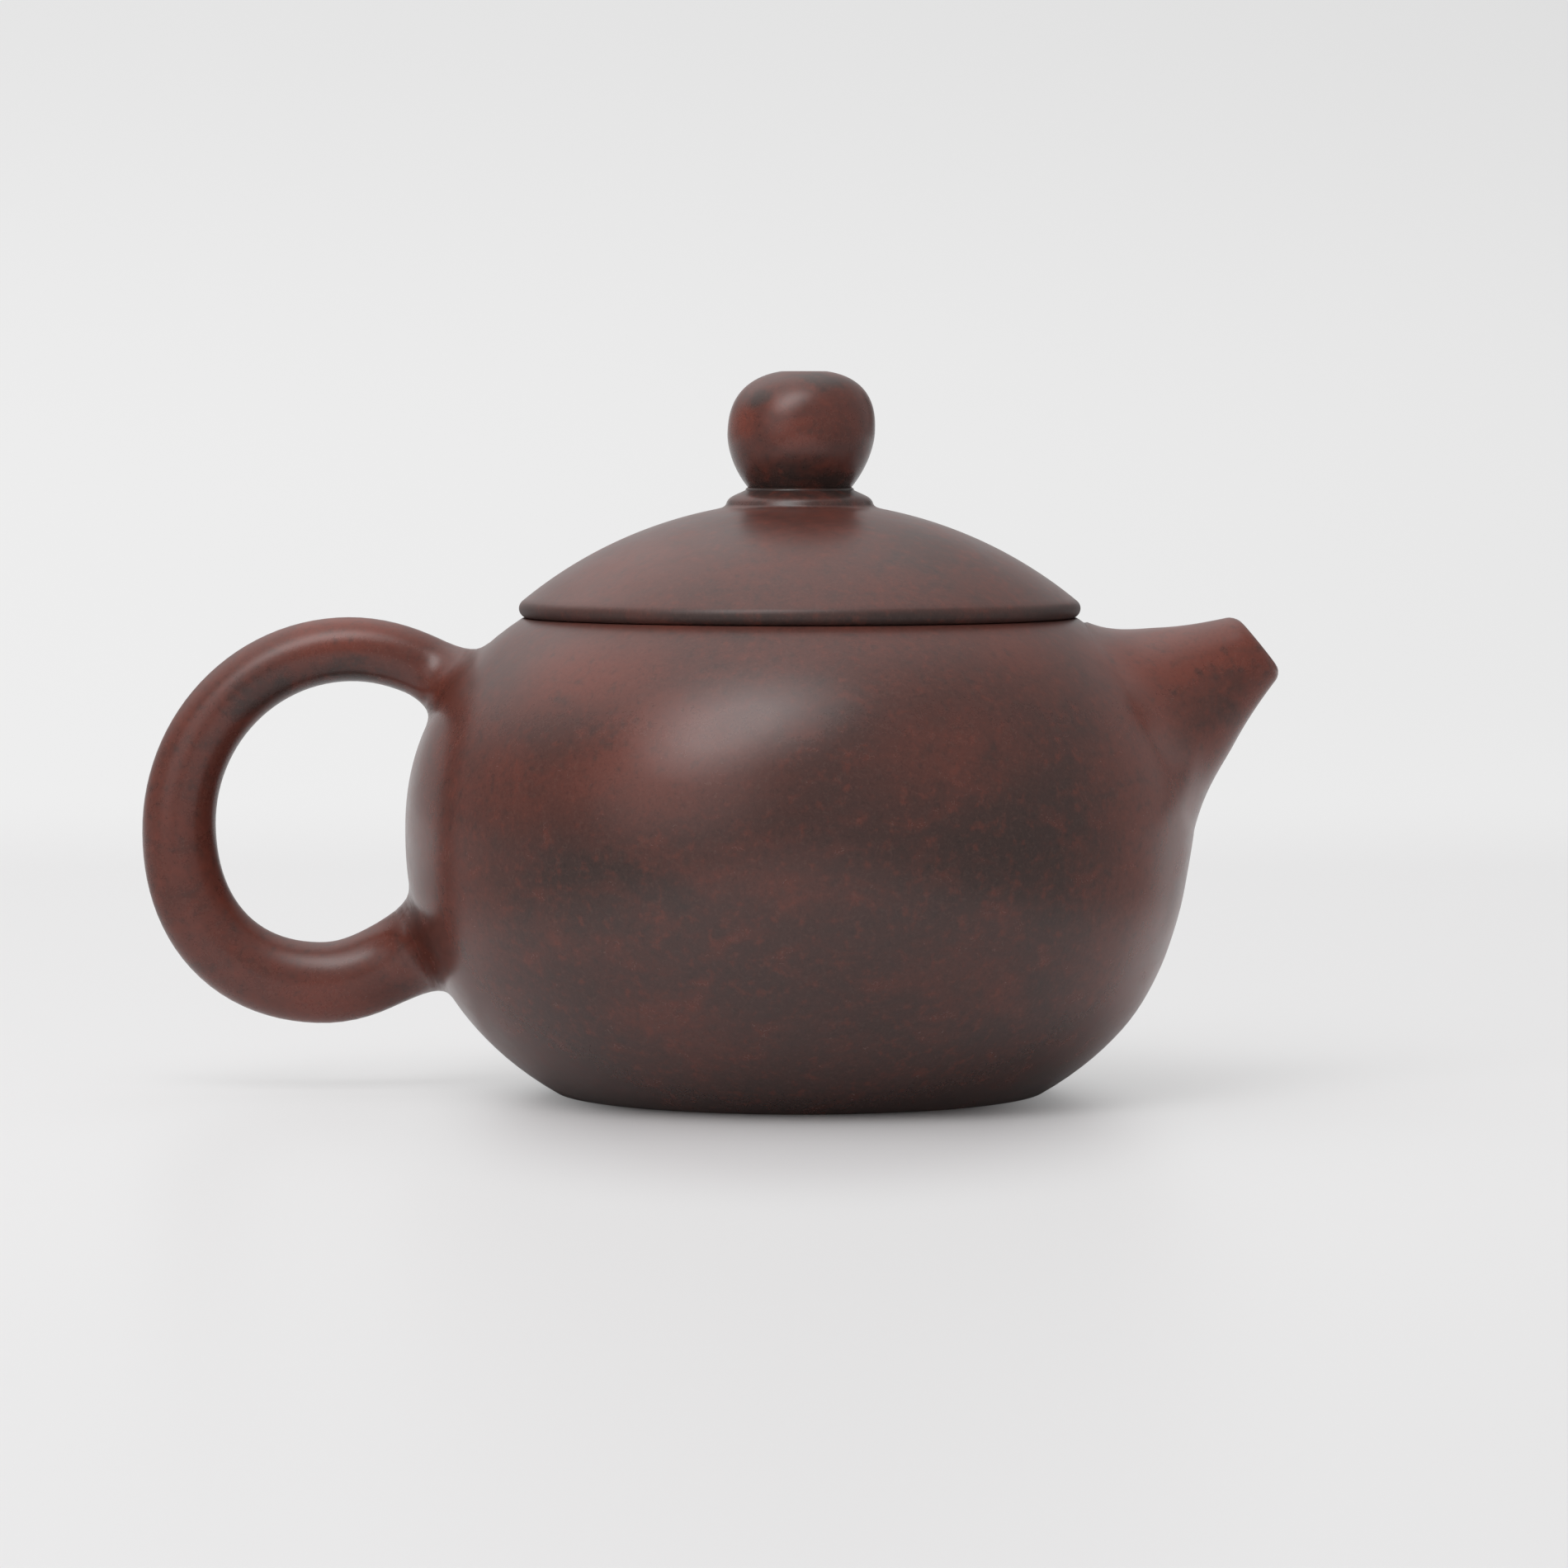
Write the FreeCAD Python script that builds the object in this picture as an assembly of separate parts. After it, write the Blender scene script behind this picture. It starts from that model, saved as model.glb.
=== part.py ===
import FreeCAD, Part
import math
import os

# Unglazed hand-built clay teapot: a low round body, a short flared spout, a ring handle and
# a domed lid with a ball knob. Sizes are in millimetres and degrees, with +Z up. The origin
# is on the pot's axis in the plane of the table; the spout points to +X, the handle to -X.

# Body
BELLY_RADIUS = 45.0  # widest outside radius
BELLY_HEIGHT = 29.8  # height of that widest ring
BELLY_FULLNESS = 2.2  # exponent of the belly's curve: 2 is an ellipse, more is fuller
BASE_RADIUS = 27.9  # outer edge of the ring that the pot stands on
RIM_HEIGHT = 54.0  # plane on which the lid sits
WALL = 3.0
FOOT_ROUND = 0.5
RIM_ROUND = 0.4

# Base disc, let into the foot of the wall
FOOT_WIDTH = 4.9  # ring of the wall that the pot stands on
FLOOR_HEIGHT = 3.4  # inside floor above the table
BASE_RECESS = 0.5  # edge of the disc's underside above the table
BASE_DISH = 0.8  # how much further the middle of the underside is pressed in

# Lid
LID_RADIUS = 32.0
LID_RISE = 13.3  # from the seat to the top of the dome
LID_EDGE_ROUND = 1.1
LID_WALL = 3.2
LID_OVERHANG = 0.4  # lid edge beyond the rim of the pot
LID_CLEARANCE = 0.3  # between the lid's pieces and the pot's

# Mouth, and the lid's flange inside it
SEAT_WIDTH = 4.1  # flat of the rim, from the mouth to its outer edge
MOUTH_RING_WALL = 2.0
MOUTH_RING_DEPTH = 5.5
MOUTH_ROUND = 0.4
FLANGE_WALL = 2.4
FLANGE_DEPTH = 7.0
FLANGE_ROUND = 0.8

# Knob and its collar
NECK_RADIUS = 5.9  # where knob and collar meet
NECK_RISE = 1.55  # neck above the top of the dome
COLLAR_RADIUS = 8.7
COLLAR_EDGE = 0.65  # thickness of the collar at its rounded edge
COLLAR_HOLLOW = 0.06  # how far the slope from edge to neck is hollowed
KNOB_RADIUS = 8.4
KNOB_HEIGHT = 13.2
KNOB_BELLY = 6.2  # widest ring above the neck
KNOB_TOP_FULLNESS = 2.45
KNOB_FOOT_FULLNESS = 1.6
KNOB_FLAT = 2.6  # radius of the flattened top
VENT_RADIUS = 1.0

# Spout
SPOUT_TIP_RADIUS = 4.15
SPOUT_TIP_DROP = 3.0  # middle of the mouth below the rim of the pot
SPOUT_REACH = 7.4  # middle of the mouth beyond the belly's widest ring
SPOUT_LENGTH = 17.4  # from the mouth back to the root, inside the wall
SPOUT_RISE = 35.1  # slope of the middle line
SPOUT_MOUTH_TILT = 39.0  # slope of the mouth's own axis
SPOUT_ROOT_TILT = 26.5  # slope of the axis at the root
SPOUT_TAPER = 0.42  # gain in radius per millimetre back from the mouth
SPOUT_FLARE_HIGH = 3.0  # extra half height and half width at the root, where it flares
SPOUT_FLARE_WIDE = 7.3
SPOUT_FLARE_POWER = 4  # how late the flare sets in
SPOUT_TAIL = 3.0  # how far the horn runs on inside the wall before it is cut
SPOUT_BLEND = 3.0  # fillet into the wall
SPOUT_LIP = 1.4  # wall at the mouth
SPOUT_LIP_ROUND = 0.8
SPOUT_HOLE_RADIUS = 7.0  # opening through the wall of the pot
THROAT_SHARE = 0.75  # share of the length at which the passage is as wide as that opening
PASSAGE_OVERRUN = 0.15  # share of the length by which the passage is cut past both ends

# Strainer, a pierced half ball over that opening inside the pot
STRAINER_WALL = 1.6
STRAINER_LAP = 0.9  # ball beyond the edge of the opening that it covers
STRAINER_HOLE_RADIUS = 0.9
STRAINER_RINGS = ((1, 0.0), (6, 23.0), (12, 46.0), (18, 68.0))  # holes, degrees from the middle

# Handle: heights of its middle line, how far out that line is beyond the belly, and sections
HANDLE_TOP_DROP = 3.6  # below the rim
HANDLE_OUTER_HEIGHT = 30.0
HANDLE_BOTTOM_HEIGHT = 12.25
HANDLE_UPPER_ROOT_DROP = 7.6  # where the line meets the wall, below the rim
HANDLE_LOWER_ROOT_HEIGHT = 16.8
HANDLE_ROOT_SLOPE = 28.0  # of the line as it enters the wall
HANDLE_TAIL = 5.0  # how far the line runs on inside the wall before it is cut
HANDLE_TOP_OUT = 6.2
HANDLE_OUTER_OUT = 25.9
HANDLE_BOTTOM_OUT = 9.6
HANDLE_TOP_THICK = 7.2
HANDLE_BOTTOM_THICK = 9.4
HANDLE_TOP_WIDE = 7.8
HANDLE_BOTTOM_WIDE = 8.8
HANDLE_BLEND = 3.0  # fillet into the wall

# Fineness of the formed curves
CURVE_POINTS = 8  # points on each quarter of a turned profile
RING_POINTS = 12  # points on each section of the spout and the handle
HANDLE_SECTIONS = 17
SPOUT_SECTIONS = (0, 0.24, 0.47, 0.68, 0.88, 1)  # shares of the spout's length, from its mouth
TOUCH = 1e-3  # what lies closer than this is taken to touch

Vector = FreeCAD.Vector
ORIGIN = Vector(0, 0, 0)
UP = Vector(0, 0, 1)
SIDE = Vector(0, 1, 0)


def at(x, z):
    """Point in the XZ plane, where every profile is drawn."""
    return Vector(x, 0, z)


def heading(degrees):
    """Direction in the XZ plane that rises by an angle from +X."""
    angle = math.radians(degrees)
    return at(math.cos(angle), math.sin(angle))


def line(start, end):
    return Part.LineSegment(start, end).toShape()


def arc(start, middle, end):
    return Part.Arc(start, middle, end).toShape()


def spline(points):
    """Smooth edge through points."""
    curve = Part.BSplineCurve()
    curve.interpolate(points)
    return curve.toShape()


def turned(edges):
    """Solid of revolution about the pot's axis from a closed profile."""
    return Part.Face(Part.Wire(edges)).revolve(ORIGIN, UP, 360)


def rod(radius, low, high):
    """Upright round rod on the pot's axis."""
    return Part.makeCylinder(radius, high - low, at(0, low))


def ball(radius, centre):
    return Part.makeSphere(radius, centre)


def rounded(solid, radius, height, fillet):
    """The solid with the round edge of this radius and height about the axis filleted."""
    edges = []
    for edge in solid.Edges:
        box = edge.BoundBox
        level = max(abs(box.ZMin - height), abs(box.ZMax - height))
        if level < TOUCH and abs(box.XMax - radius) < TOUCH:
            edges.append(edge)
    return solid.makeFillet(fillet, edges)


def half_height(width, end_radius, rise, fullness):
    """Half height of a full ellipse that comes in from its width to a radius after a rise."""
    return rise / (1 - (end_radius / width) ** fullness) ** (1 / fullness)


def swell(width, half, fullness, rise):
    """Radius of a full ellipse at a rise from its middle."""
    return width * (1 - (abs(rise) / half) ** fullness) ** (1 / fullness)


# Sizes that follow from the ones above
rim_radius = LID_RADIUS - LID_OVERHANG
upper_half = half_height(BELLY_RADIUS, rim_radius, RIM_HEIGHT - BELLY_HEIGHT, BELLY_FULLNESS)
lower_half = half_height(BELLY_RADIUS, BASE_RADIUS, BELLY_HEIGHT, BELLY_FULLNESS)
mouth_radius = rim_radius - SEAT_WIDTH
mouth_opening = mouth_radius + MOUTH_RING_WALL
base_disc_radius = BASE_RADIUS - FOOT_WIDTH
edge_centre = LID_RADIUS - LID_EDGE_ROUND
edge_drop = LID_RISE - LID_EDGE_ROUND
dome_radius = (edge_centre**2 + edge_drop**2 - LID_EDGE_ROUND**2) / (2 * (edge_drop - LID_EDGE_ROUND))
dome_centre = at(0, RIM_HEIGHT + LID_RISE - dome_radius)
neck_height = RIM_HEIGHT + LID_RISE + NECK_RISE
spout_tip = at(BELLY_RADIUS + SPOUT_REACH, RIM_HEIGHT - SPOUT_TIP_DROP)
strainer_inside = SPOUT_HOLE_RADIUS + STRAINER_LAP
strainer_outside = strainer_inside + STRAINER_WALL


def body_radius(height, inset=0.0):
    """Radius of the body at a height: its outside, or its inside with the wall as inset."""
    rise = height - BELLY_HEIGHT
    half = upper_half if rise > 0 else lower_half
    return swell(BELLY_RADIUS - inset, half - inset, BELLY_FULLNESS, rise)


def body_lump(inset, low):
    """The body's curve from a low height up to the rim, turned into one solid lump."""
    shares = [i / CURVE_POINTS for i in range(CURVE_POINTS + 1)]
    levels = [low + (BELLY_HEIGHT - low) * share for share in shares[:-1]]
    levels += [BELLY_HEIGHT + (RIM_HEIGHT - BELLY_HEIGHT) * share for share in shares]
    curve = [at(body_radius(z, inset), z) for z in levels]
    top, bottom = at(0, RIM_HEIGHT), at(0, low)
    return turned([spline(curve), line(curve[-1], top), line(top, bottom), line(bottom, curve[0])])


def oval(centre, along, half_high, half_wide):
    """Oval wire square to a direction in the XZ plane."""
    across = SIDE.cross(along).normalize()
    points = []
    for i in range(RING_POINTS):
        turn = 2 * math.pi * i / RING_POINTS
        point = centre + across * (half_high * math.cos(turn))
        points.append(point + SIDE * (half_wide * math.sin(turn)))
    curve = Part.BSplineCurve()
    curve.interpolate(Points=points, PeriodicFlag=True)
    return Part.Wire(curve.toShape())


def luted(limb, lump, blend):
    """What stands out of the lump of a limb that runs into it, with a fillet where they meet."""
    joined = lump.fuse(limb)
    meeting = limb.section(lump)
    seam = []
    for edge in joined.Edges:
        middle = edge.valueAt((edge.FirstParameter + edge.LastParameter) / 2)
        if meeting.distToShape(Part.Vertex(middle))[0] < TOUCH:
            seam.append(edge)
    return joined.makeFillet(blend, seam).cut([lump], TOUCH)


def spout_station(back):
    """Middle point and axis of the spout at a distance back from its mouth."""
    tilt = SPOUT_MOUTH_TILT + (SPOUT_ROOT_TILT - SPOUT_MOUTH_TILT) * back / SPOUT_LENGTH
    return spout_tip - heading(SPOUT_RISE) * back, heading(tilt)


def make_horn():
    """Outside of the spout: ovals that widen from the mouth and flare at the root."""
    ovals = []
    for share in SPOUT_SECTIONS:
        back = SPOUT_LENGTH * share
        centre, axis = spout_station(back)
        radius = SPOUT_TIP_RADIUS + SPOUT_TAPER * back
        flare = share**SPOUT_FLARE_POWER
        high = radius + SPOUT_FLARE_HIGH * flare
        wide = radius + SPOUT_FLARE_WIDE * flare
        ovals.append(oval(centre, axis, high, wide))
    ovals.append(oval(centre - axis * SPOUT_TAIL, axis, high, wide))
    horn = Part.makeLoft(ovals, True)
    lip = [edge for edge in horn.Edges if edge.BoundBox.Center.distanceToPoint(spout_tip) < SPOUT_LIP]
    return horn.makeFillet(SPOUT_LIP_ROUND, lip)


def make_passage():
    """Inside of the spout: a bore at the mouth that widens to the opening in the wall."""
    bore = SPOUT_TIP_RADIUS - SPOUT_LIP
    narrow = [(-PASSAGE_OVERRUN, bore), (0, bore)]
    full = [(THROAT_SHARE, SPOUT_HOLE_RADIUS), (1 + PASSAGE_OVERRUN, SPOUT_HOLE_RADIUS)]
    ovals = []
    for share, radius in narrow + full:
        centre, axis = spout_station(SPOUT_LENGTH * share)
        ovals.append(oval(centre, axis, radius, radius))
    return Part.makeLoft(ovals, True)


def make_spout(lump):
    spout = luted(make_horn(), lump, SPOUT_BLEND)
    lid_path = rod(LID_RADIUS + LID_CLEARANCE, RIM_HEIGHT - LID_CLEARANCE, RIM_HEIGHT + LID_RISE)
    return spout.cut(lid_path).cut(make_passage())


def make_body_wall(lump, cavity):
    root, axis = spout_station(SPOUT_LENGTH)
    inside = root - axis * strainer_outside
    opening = Part.makeCylinder(SPOUT_HOLE_RADIUS, strainer_outside + SPOUT_LENGTH, inside, axis)
    wall = rounded(rounded(lump, BASE_RADIUS, 0, FOOT_ROUND), rim_radius, RIM_HEIGHT, RIM_ROUND)
    wall = wall.cut(cavity).cut(rod(base_disc_radius, 0, FLOOR_HEIGHT))
    return wall.cut(rod(mouth_opening, RIM_HEIGHT - 2 * WALL, RIM_HEIGHT)).cut(opening)


def make_base_disc():
    middle, edge = at(0, BASE_RECESS + BASE_DISH), at(base_disc_radius, BASE_RECESS)
    top, rim = at(0, FLOOR_HEIGHT), at(base_disc_radius, FLOOR_HEIGHT)
    under = Part.Arc(at(-base_disc_radius, BASE_RECESS), middle, edge)
    under = arc(middle, under.value(0.75 * under.LastParameter + 0.25 * under.FirstParameter), edge)
    return turned([under, line(edge, rim), line(rim, top), line(top, middle)])


def make_mouth_ring():
    low = RIM_HEIGHT - MOUTH_RING_DEPTH
    ring = rod(mouth_opening, low, RIM_HEIGHT).cut(rod(mouth_radius, low, RIM_HEIGHT))
    return rounded(ring, mouth_radius, RIM_HEIGHT, MOUTH_ROUND)


def make_strainer(cavity):
    centre, axis = spout_station(SPOUT_LENGTH)
    shell = ball(strainer_outside, centre).cut(ball(strainer_inside, centre)).common(cavity)
    sideways = axis.cross(SIDE)
    for count, lean in STRAINER_RINGS:
        tipped = FreeCAD.Rotation(sideways, lean).multVec(-axis)
        for i in range(count):
            out = FreeCAD.Rotation(axis, 360 * i / count).multVec(tipped)
            start = centre + out * (strainer_inside - STRAINER_WALL)
            shell = shell.cut(Part.makeCylinder(STRAINER_HOLE_RADIUS, 3 * STRAINER_WALL, start, out))
    return shell


def make_handle(lump):
    """Ring handle: a middle line of two quarter ellipses with a tail into the wall at each end."""
    belly = -BELLY_RADIUS
    top = at(belly - HANDLE_TOP_OUT, RIM_HEIGHT - HANDLE_TOP_DROP)
    outer = at(belly - HANDLE_OUTER_OUT, HANDLE_OUTER_HEIGHT)
    bottom = at(belly - HANDLE_BOTTOM_OUT, HANDLE_BOTTOM_HEIGHT)
    upper_root = RIM_HEIGHT - HANDLE_UPPER_ROOT_DROP
    upper = at(-body_radius(upper_root), upper_root)
    lower = at(-body_radius(HANDLE_LOWER_ROOT_HEIGHT), HANDLE_LOWER_ROOT_HEIGHT)
    half_way = math.sqrt(0.5)
    corners = []
    for end in (top, bottom):
        corners.append(at(end.x + (outer.x - end.x) * half_way, outer.z + (end.z - outer.z) * half_way))
    upper_tail = upper + heading(-HANDLE_ROOT_SLOPE) * HANDLE_TAIL
    lower_tail = lower + heading(HANDLE_ROOT_SLOPE) * HANDLE_TAIL
    middle_line = Part.BSplineCurve()
    bow = [top, corners[0], outer, corners[1], bottom]
    middle_line.interpolate([upper_tail, upper] + bow + [lower, lower_tail])
    first, last = middle_line.FirstParameter, middle_line.LastParameter
    ovals = []
    for i in range(HANDLE_SECTIONS):
        share = i / (HANDLE_SECTIONS - 1)
        place = first + (last - first) * share
        growth = (1 - math.cos(math.pi * share)) / 2
        thick = HANDLE_TOP_THICK + (HANDLE_BOTTOM_THICK - HANDLE_TOP_THICK) * growth
        wide = HANDLE_TOP_WIDE + (HANDLE_BOTTOM_WIDE - HANDLE_TOP_WIDE) * growth
        ovals.append(oval(middle_line.value(place), middle_line.tangent(place)[0], thick / 2, wide / 2))
    return luted(Part.makeLoft(ovals, True), lump, HANDLE_BLEND)


def vent():
    return rod(VENT_RADIUS, RIM_HEIGHT, neck_height + KNOB_HEIGHT)


def make_lid_dome():
    inner = dome_radius - LID_WALL
    dome = ball(dome_radius, dome_centre).cut(ball(inner, dome_centre))
    dome = dome.common(rod(2 * LID_RADIUS, RIM_HEIGHT, RIM_HEIGHT + 2 * LID_RISE))
    sharp_edge = math.sqrt(dome_radius**2 - (RIM_HEIGHT - dome_centre.z) ** 2)
    return rounded(dome, sharp_edge, RIM_HEIGHT, LID_EDGE_ROUND).cut(vent())


def make_lid_flange():
    outer = mouth_radius - LID_CLEARANCE
    low, high = RIM_HEIGHT - FLANGE_DEPTH, RIM_HEIGHT + LID_RISE
    ring = rod(outer, low, high).cut(rod(outer - FLANGE_WALL, low, high))
    return rounded(ring, outer, low, FLANGE_ROUND).common(ball(dome_radius - LID_WALL, dome_centre))


def make_knob_collar():
    dome_edge = dome_centre.z + math.sqrt(dome_radius**2 - COLLAR_RADIUS**2)
    foot = at(COLLAR_RADIUS, dome_edge)
    shoulder = at(COLLAR_RADIUS - COLLAR_EDGE, dome_edge + COLLAR_EDGE)
    turn = at(shoulder.x, dome_edge) + heading(45) * COLLAR_EDGE
    neck = at(NECK_RADIUS, neck_height)
    hollow = (neck + shoulder) * 0.5 - at(COLLAR_HOLLOW, COLLAR_HOLLOW)
    low, top = at(0, dome_edge), at(0, neck_height)
    outside = [arc(foot, turn, shoulder), arc(shoulder, hollow, neck)]
    collar = turned(outside + [line(neck, top), line(top, low), line(low, foot)])
    return collar.cut(ball(dome_radius, dome_centre)).cut(vent())


def make_knob():
    foot_half = half_height(KNOB_RADIUS, NECK_RADIUS, KNOB_BELLY, KNOB_FOOT_FULLNESS)
    top_half = half_height(KNOB_RADIUS, KNOB_FLAT, KNOB_HEIGHT - KNOB_BELLY, KNOB_TOP_FULLNESS)
    curve = []
    for i in range(2 * CURVE_POINTS + 1):
        rise = KNOB_HEIGHT * (1 - math.cos(math.pi * i / (2 * CURVE_POINTS))) / 2 - KNOB_BELLY
        half, fullness = (foot_half, KNOB_FOOT_FULLNESS) if rise < 0 else (top_half, KNOB_TOP_FULLNESS)
        curve.append(at(swell(KNOB_RADIUS, half, fullness, rise), neck_height + KNOB_BELLY + rise))
    low, top = at(0, neck_height), at(0, neck_height + KNOB_HEIGHT)
    return turned([spline(curve), line(curve[-1], top), line(top, low), line(low, curve[0])]).cut(vent())


lump = body_lump(0.0, 0.0)
cavity = body_lump(WALL, FLOOR_HEIGHT)
pieces = {
    "body_wall": make_body_wall(lump, cavity),
    "base_disc": make_base_disc(),
    "mouth_ring": make_mouth_ring(),
    "spout": make_spout(lump),
    "spout_strainer": make_strainer(cavity),
    "handle": make_handle(lump),
    "lid_dome": make_lid_dome(),
    "lid_flange": make_lid_flange(),
    "knob_collar": make_knob_collar(),
    "knob": make_knob(),
}

os.makedirs("parts", exist_ok=True)
for name, shape in pieces.items():
    solid = shape.Solids[0]
    print(name, "solids", len(shape.Solids), "valid", solid.isValid(), "volume", round(solid.Volume, 1))
    solid.exportStep("parts/" + name + ".step")
print("room inside to the rim, ml", round(cavity.Volume / 1000, 1))
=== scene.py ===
# %% [markdown]
# # A small clay teapot, dressed for its picture
# The pot is unglazed brown clay: a low round body, a short spout, a ring handle and a domed lid
# with a ball knob. Its construction is already packed as a frame of plain solids at real size.
# This lesson builds a clean mesh for every piece, in the same place, and then finds the finish.
# The frame could be shown as it is, but its meshes are loose triangles that shade badly on soft
# round forms, so each one is replaced by a mesh that is turned or drawn out ring by ring.

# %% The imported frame
import bmesh
import bpy
import math
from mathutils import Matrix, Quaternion, Vector
from mathutils.geometry import interpolate_bezier


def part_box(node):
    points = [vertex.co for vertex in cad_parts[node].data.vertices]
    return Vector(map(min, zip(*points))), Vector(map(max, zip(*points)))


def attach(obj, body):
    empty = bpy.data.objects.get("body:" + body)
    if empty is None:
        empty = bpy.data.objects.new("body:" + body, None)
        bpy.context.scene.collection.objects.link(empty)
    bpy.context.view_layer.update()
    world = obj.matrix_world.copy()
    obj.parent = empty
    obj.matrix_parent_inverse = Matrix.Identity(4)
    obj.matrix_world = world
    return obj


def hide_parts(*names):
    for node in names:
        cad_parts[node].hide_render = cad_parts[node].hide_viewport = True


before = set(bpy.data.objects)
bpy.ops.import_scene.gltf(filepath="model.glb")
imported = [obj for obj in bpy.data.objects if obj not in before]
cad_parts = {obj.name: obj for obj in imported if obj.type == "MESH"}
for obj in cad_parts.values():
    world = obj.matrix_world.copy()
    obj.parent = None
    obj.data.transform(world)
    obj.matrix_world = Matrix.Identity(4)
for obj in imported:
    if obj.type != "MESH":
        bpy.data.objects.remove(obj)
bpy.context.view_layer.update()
MM = 0.001
scene = bpy.context.scene
scene.view_settings.view_transform = "Standard"
print("nodes in the frame:", sorted(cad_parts))

# %% [markdown]
# ## The camera
# The picture was taken level with the lid, from the side on which the spout points right, with a
# long lens, so the rim is seen as a very flat oval. The camera could be placed by eye. Here it is
# worked out instead: how many pixels a millimetre takes at the pot's axis, where that axis stands
# in the picture, and how far away the eye is. The distance decides how flat the ovals look.

# %% Camera
PICTURE = 1900  # pixels each way
PIXELS_PER_MM = 10.61  # at the pot's axis
AXIS_PIXEL = 969  # column of the pot's axis
MIDDLE_HEIGHT = 35.0  # height on the axis that is level with the middle of the picture
EYE_DISTANCE = 760.0
EYE_HEIGHT = 77.0
NEAR_CLIP = 10.0

aim_x = (PICTURE / 2 - AXIS_PIXEL) / PIXELS_PER_MM
eye = Vector((aim_x, -EYE_DISTANCE, EYE_HEIGHT)) * MM
aim = Vector((aim_x, 0, MIDDLE_HEIGHT)) * MM
camera_data = bpy.data.cameras.new("camera")
camera = bpy.data.objects.new("camera", camera_data)
scene.collection.objects.link(camera)
camera.location = eye
camera.rotation_euler = (aim - eye).to_track_quat("-Z", "Y").to_euler()
camera_data.lens = camera_data.sensor_width * PIXELS_PER_MM * (aim - eye).length / MM / PICTURE
camera_data.clip_start = NEAR_CLIP * MM
scene.camera = camera
print("lens, mm:", round(camera_data.lens, 1))

# %% [markdown]
# ## Turning a profile
# A round pot is thrown or turned, and so is its mesh. A profile is traced in the upright XZ plane
# by extruding one vertex from point to point, and then spun about the axis. A lathe modifier
# would give the same shape, but the operators leave a plain mesh that can be worked on further.
# The first and last copies of the profile lie on each other, so they are welded, and the normals
# are made to agree afterwards, because a spin can leave them pointing inwards.

# %% Tracing and turning
TURN_STEPS = 160
WELD = 1e-6
SMOOTH_ANGLE = math.radians(32)


def at(x, z):
    """Point in the upright plane of the profiles, from millimetres."""
    return Vector((x, 0, z)) * MM


def heading(degrees):
    """Direction in that plane, rising by an angle from +X, one millimetre long."""
    angle = math.radians(degrees)
    return at(math.cos(angle), math.sin(angle))


def arc(centre, radius, start, end, steps):
    """Points on an arc between two headings, both ends among them."""
    return [centre + heading(start + (end - start) * i / steps) * radius for i in range(steps + 1)]


def begin(name):
    """Gives the primitive just added its name and opens it in edit mode, all selected."""
    piece = bpy.context.object
    piece.name = piece.data.name = name
    bpy.ops.object.mode_set(mode="EDIT")
    bpy.ops.mesh.select_all(action="SELECT")
    return piece


def pick(piece, test):
    """Selects the vertices that pass a test on their place in millimetres."""
    mesh = bmesh.from_edit_mesh(piece.data)
    for vertex in mesh.verts:
        vertex.select_set(test(*vertex.co / MM))
    mesh.select_flush_mode()
    bmesh.update_edit_mesh(piece.data)


def finish_mesh(piece):
    """Welds doubles, points the faces outwards and smooths all but the sharp edges."""
    bpy.ops.mesh.select_all(action="SELECT")
    bpy.ops.mesh.remove_doubles(threshold=WELD)
    bpy.ops.mesh.normals_make_consistent(inside=False)
    if bmesh.from_edit_mesh(piece.data).calc_volume(signed=True) < 0:
        bpy.ops.mesh.flip_normals()
    bpy.ops.object.mode_set(mode="OBJECT")
    bpy.ops.object.shade_smooth_by_angle(angle=SMOOTH_ANGLE)
    print(piece.name, "faces:", len(piece.data.polygons))
    return piece


def turned(name, profile, closed=True):
    """A profile traced by extruding one vertex, then spun about the pot's axis."""
    bpy.ops.object.select_all(action="DESELECT")
    bpy.ops.mesh.primitive_plane_add(size=MM)
    piece = begin(name)
    bpy.ops.mesh.merge(type="CENTER")
    bpy.ops.transform.translate(value=profile[0])
    for here, there in zip(profile, profile[1:]):
        bpy.ops.mesh.extrude_region_move(TRANSFORM_OT_translate={"value": there - here})
    if closed:
        outline = bmesh.from_edit_mesh(piece.data)
        for vertex in outline.verts:
            vertex.select_set(len(vertex.link_edges) == 1)
        bmesh.update_edit_mesh(piece.data)
        bpy.ops.mesh.edge_face_add()
    bpy.ops.mesh.select_all(action="SELECT")
    bpy.ops.mesh.spin(steps=TURN_STEPS, angle=2 * math.pi, center=(0, 0, 0), axis=(0, 0, 1))
    return finish_mesh(piece)


print("steps in a turn:", TURN_STEPS)

# %% [markdown]
# ## The body
# The belly is fuller than an ellipse: the curve stays wide for longer and then comes in quickly to
# the rim and the foot. A superellipse says that with one number. The widest radius and the rim
# are read from the frame, so the mesh lies on the solid. The profile goes up the outside, over the
# flat rim, down the inside and across the foot, so the wall has its real thickness.

# %% Body wall
BELLY_HEIGHT = 29.8
FULLNESS = 2.2  # 2 is an ellipse, more is fuller
BASE_RADIUS = 27.9
RIM_RADIUS = 31.6
WALL = 3.0
MOUTH_OPENING = 29.5  # hole in the wall that the mouth ring sits in
DISC_RADIUS = 23.0  # base disc
FLOOR_HEIGHT = 3.4
EDGE_ROUND = 0.4
LEVELS = 26  # rings on each half of the belly

belly_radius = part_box("body_wall")[1].y / MM
rim_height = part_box("body_wall")[1].z / MM


def half_height(end_radius, rise):
    """Half height of the full ellipse that comes in to a radius after a rise."""
    return rise / (1 - (end_radius / belly_radius) ** FULLNESS) ** (1 / FULLNESS)


upper_half = half_height(RIM_RADIUS, rim_height - BELLY_HEIGHT)
lower_half = half_height(BASE_RADIUS, BELLY_HEIGHT)


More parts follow.
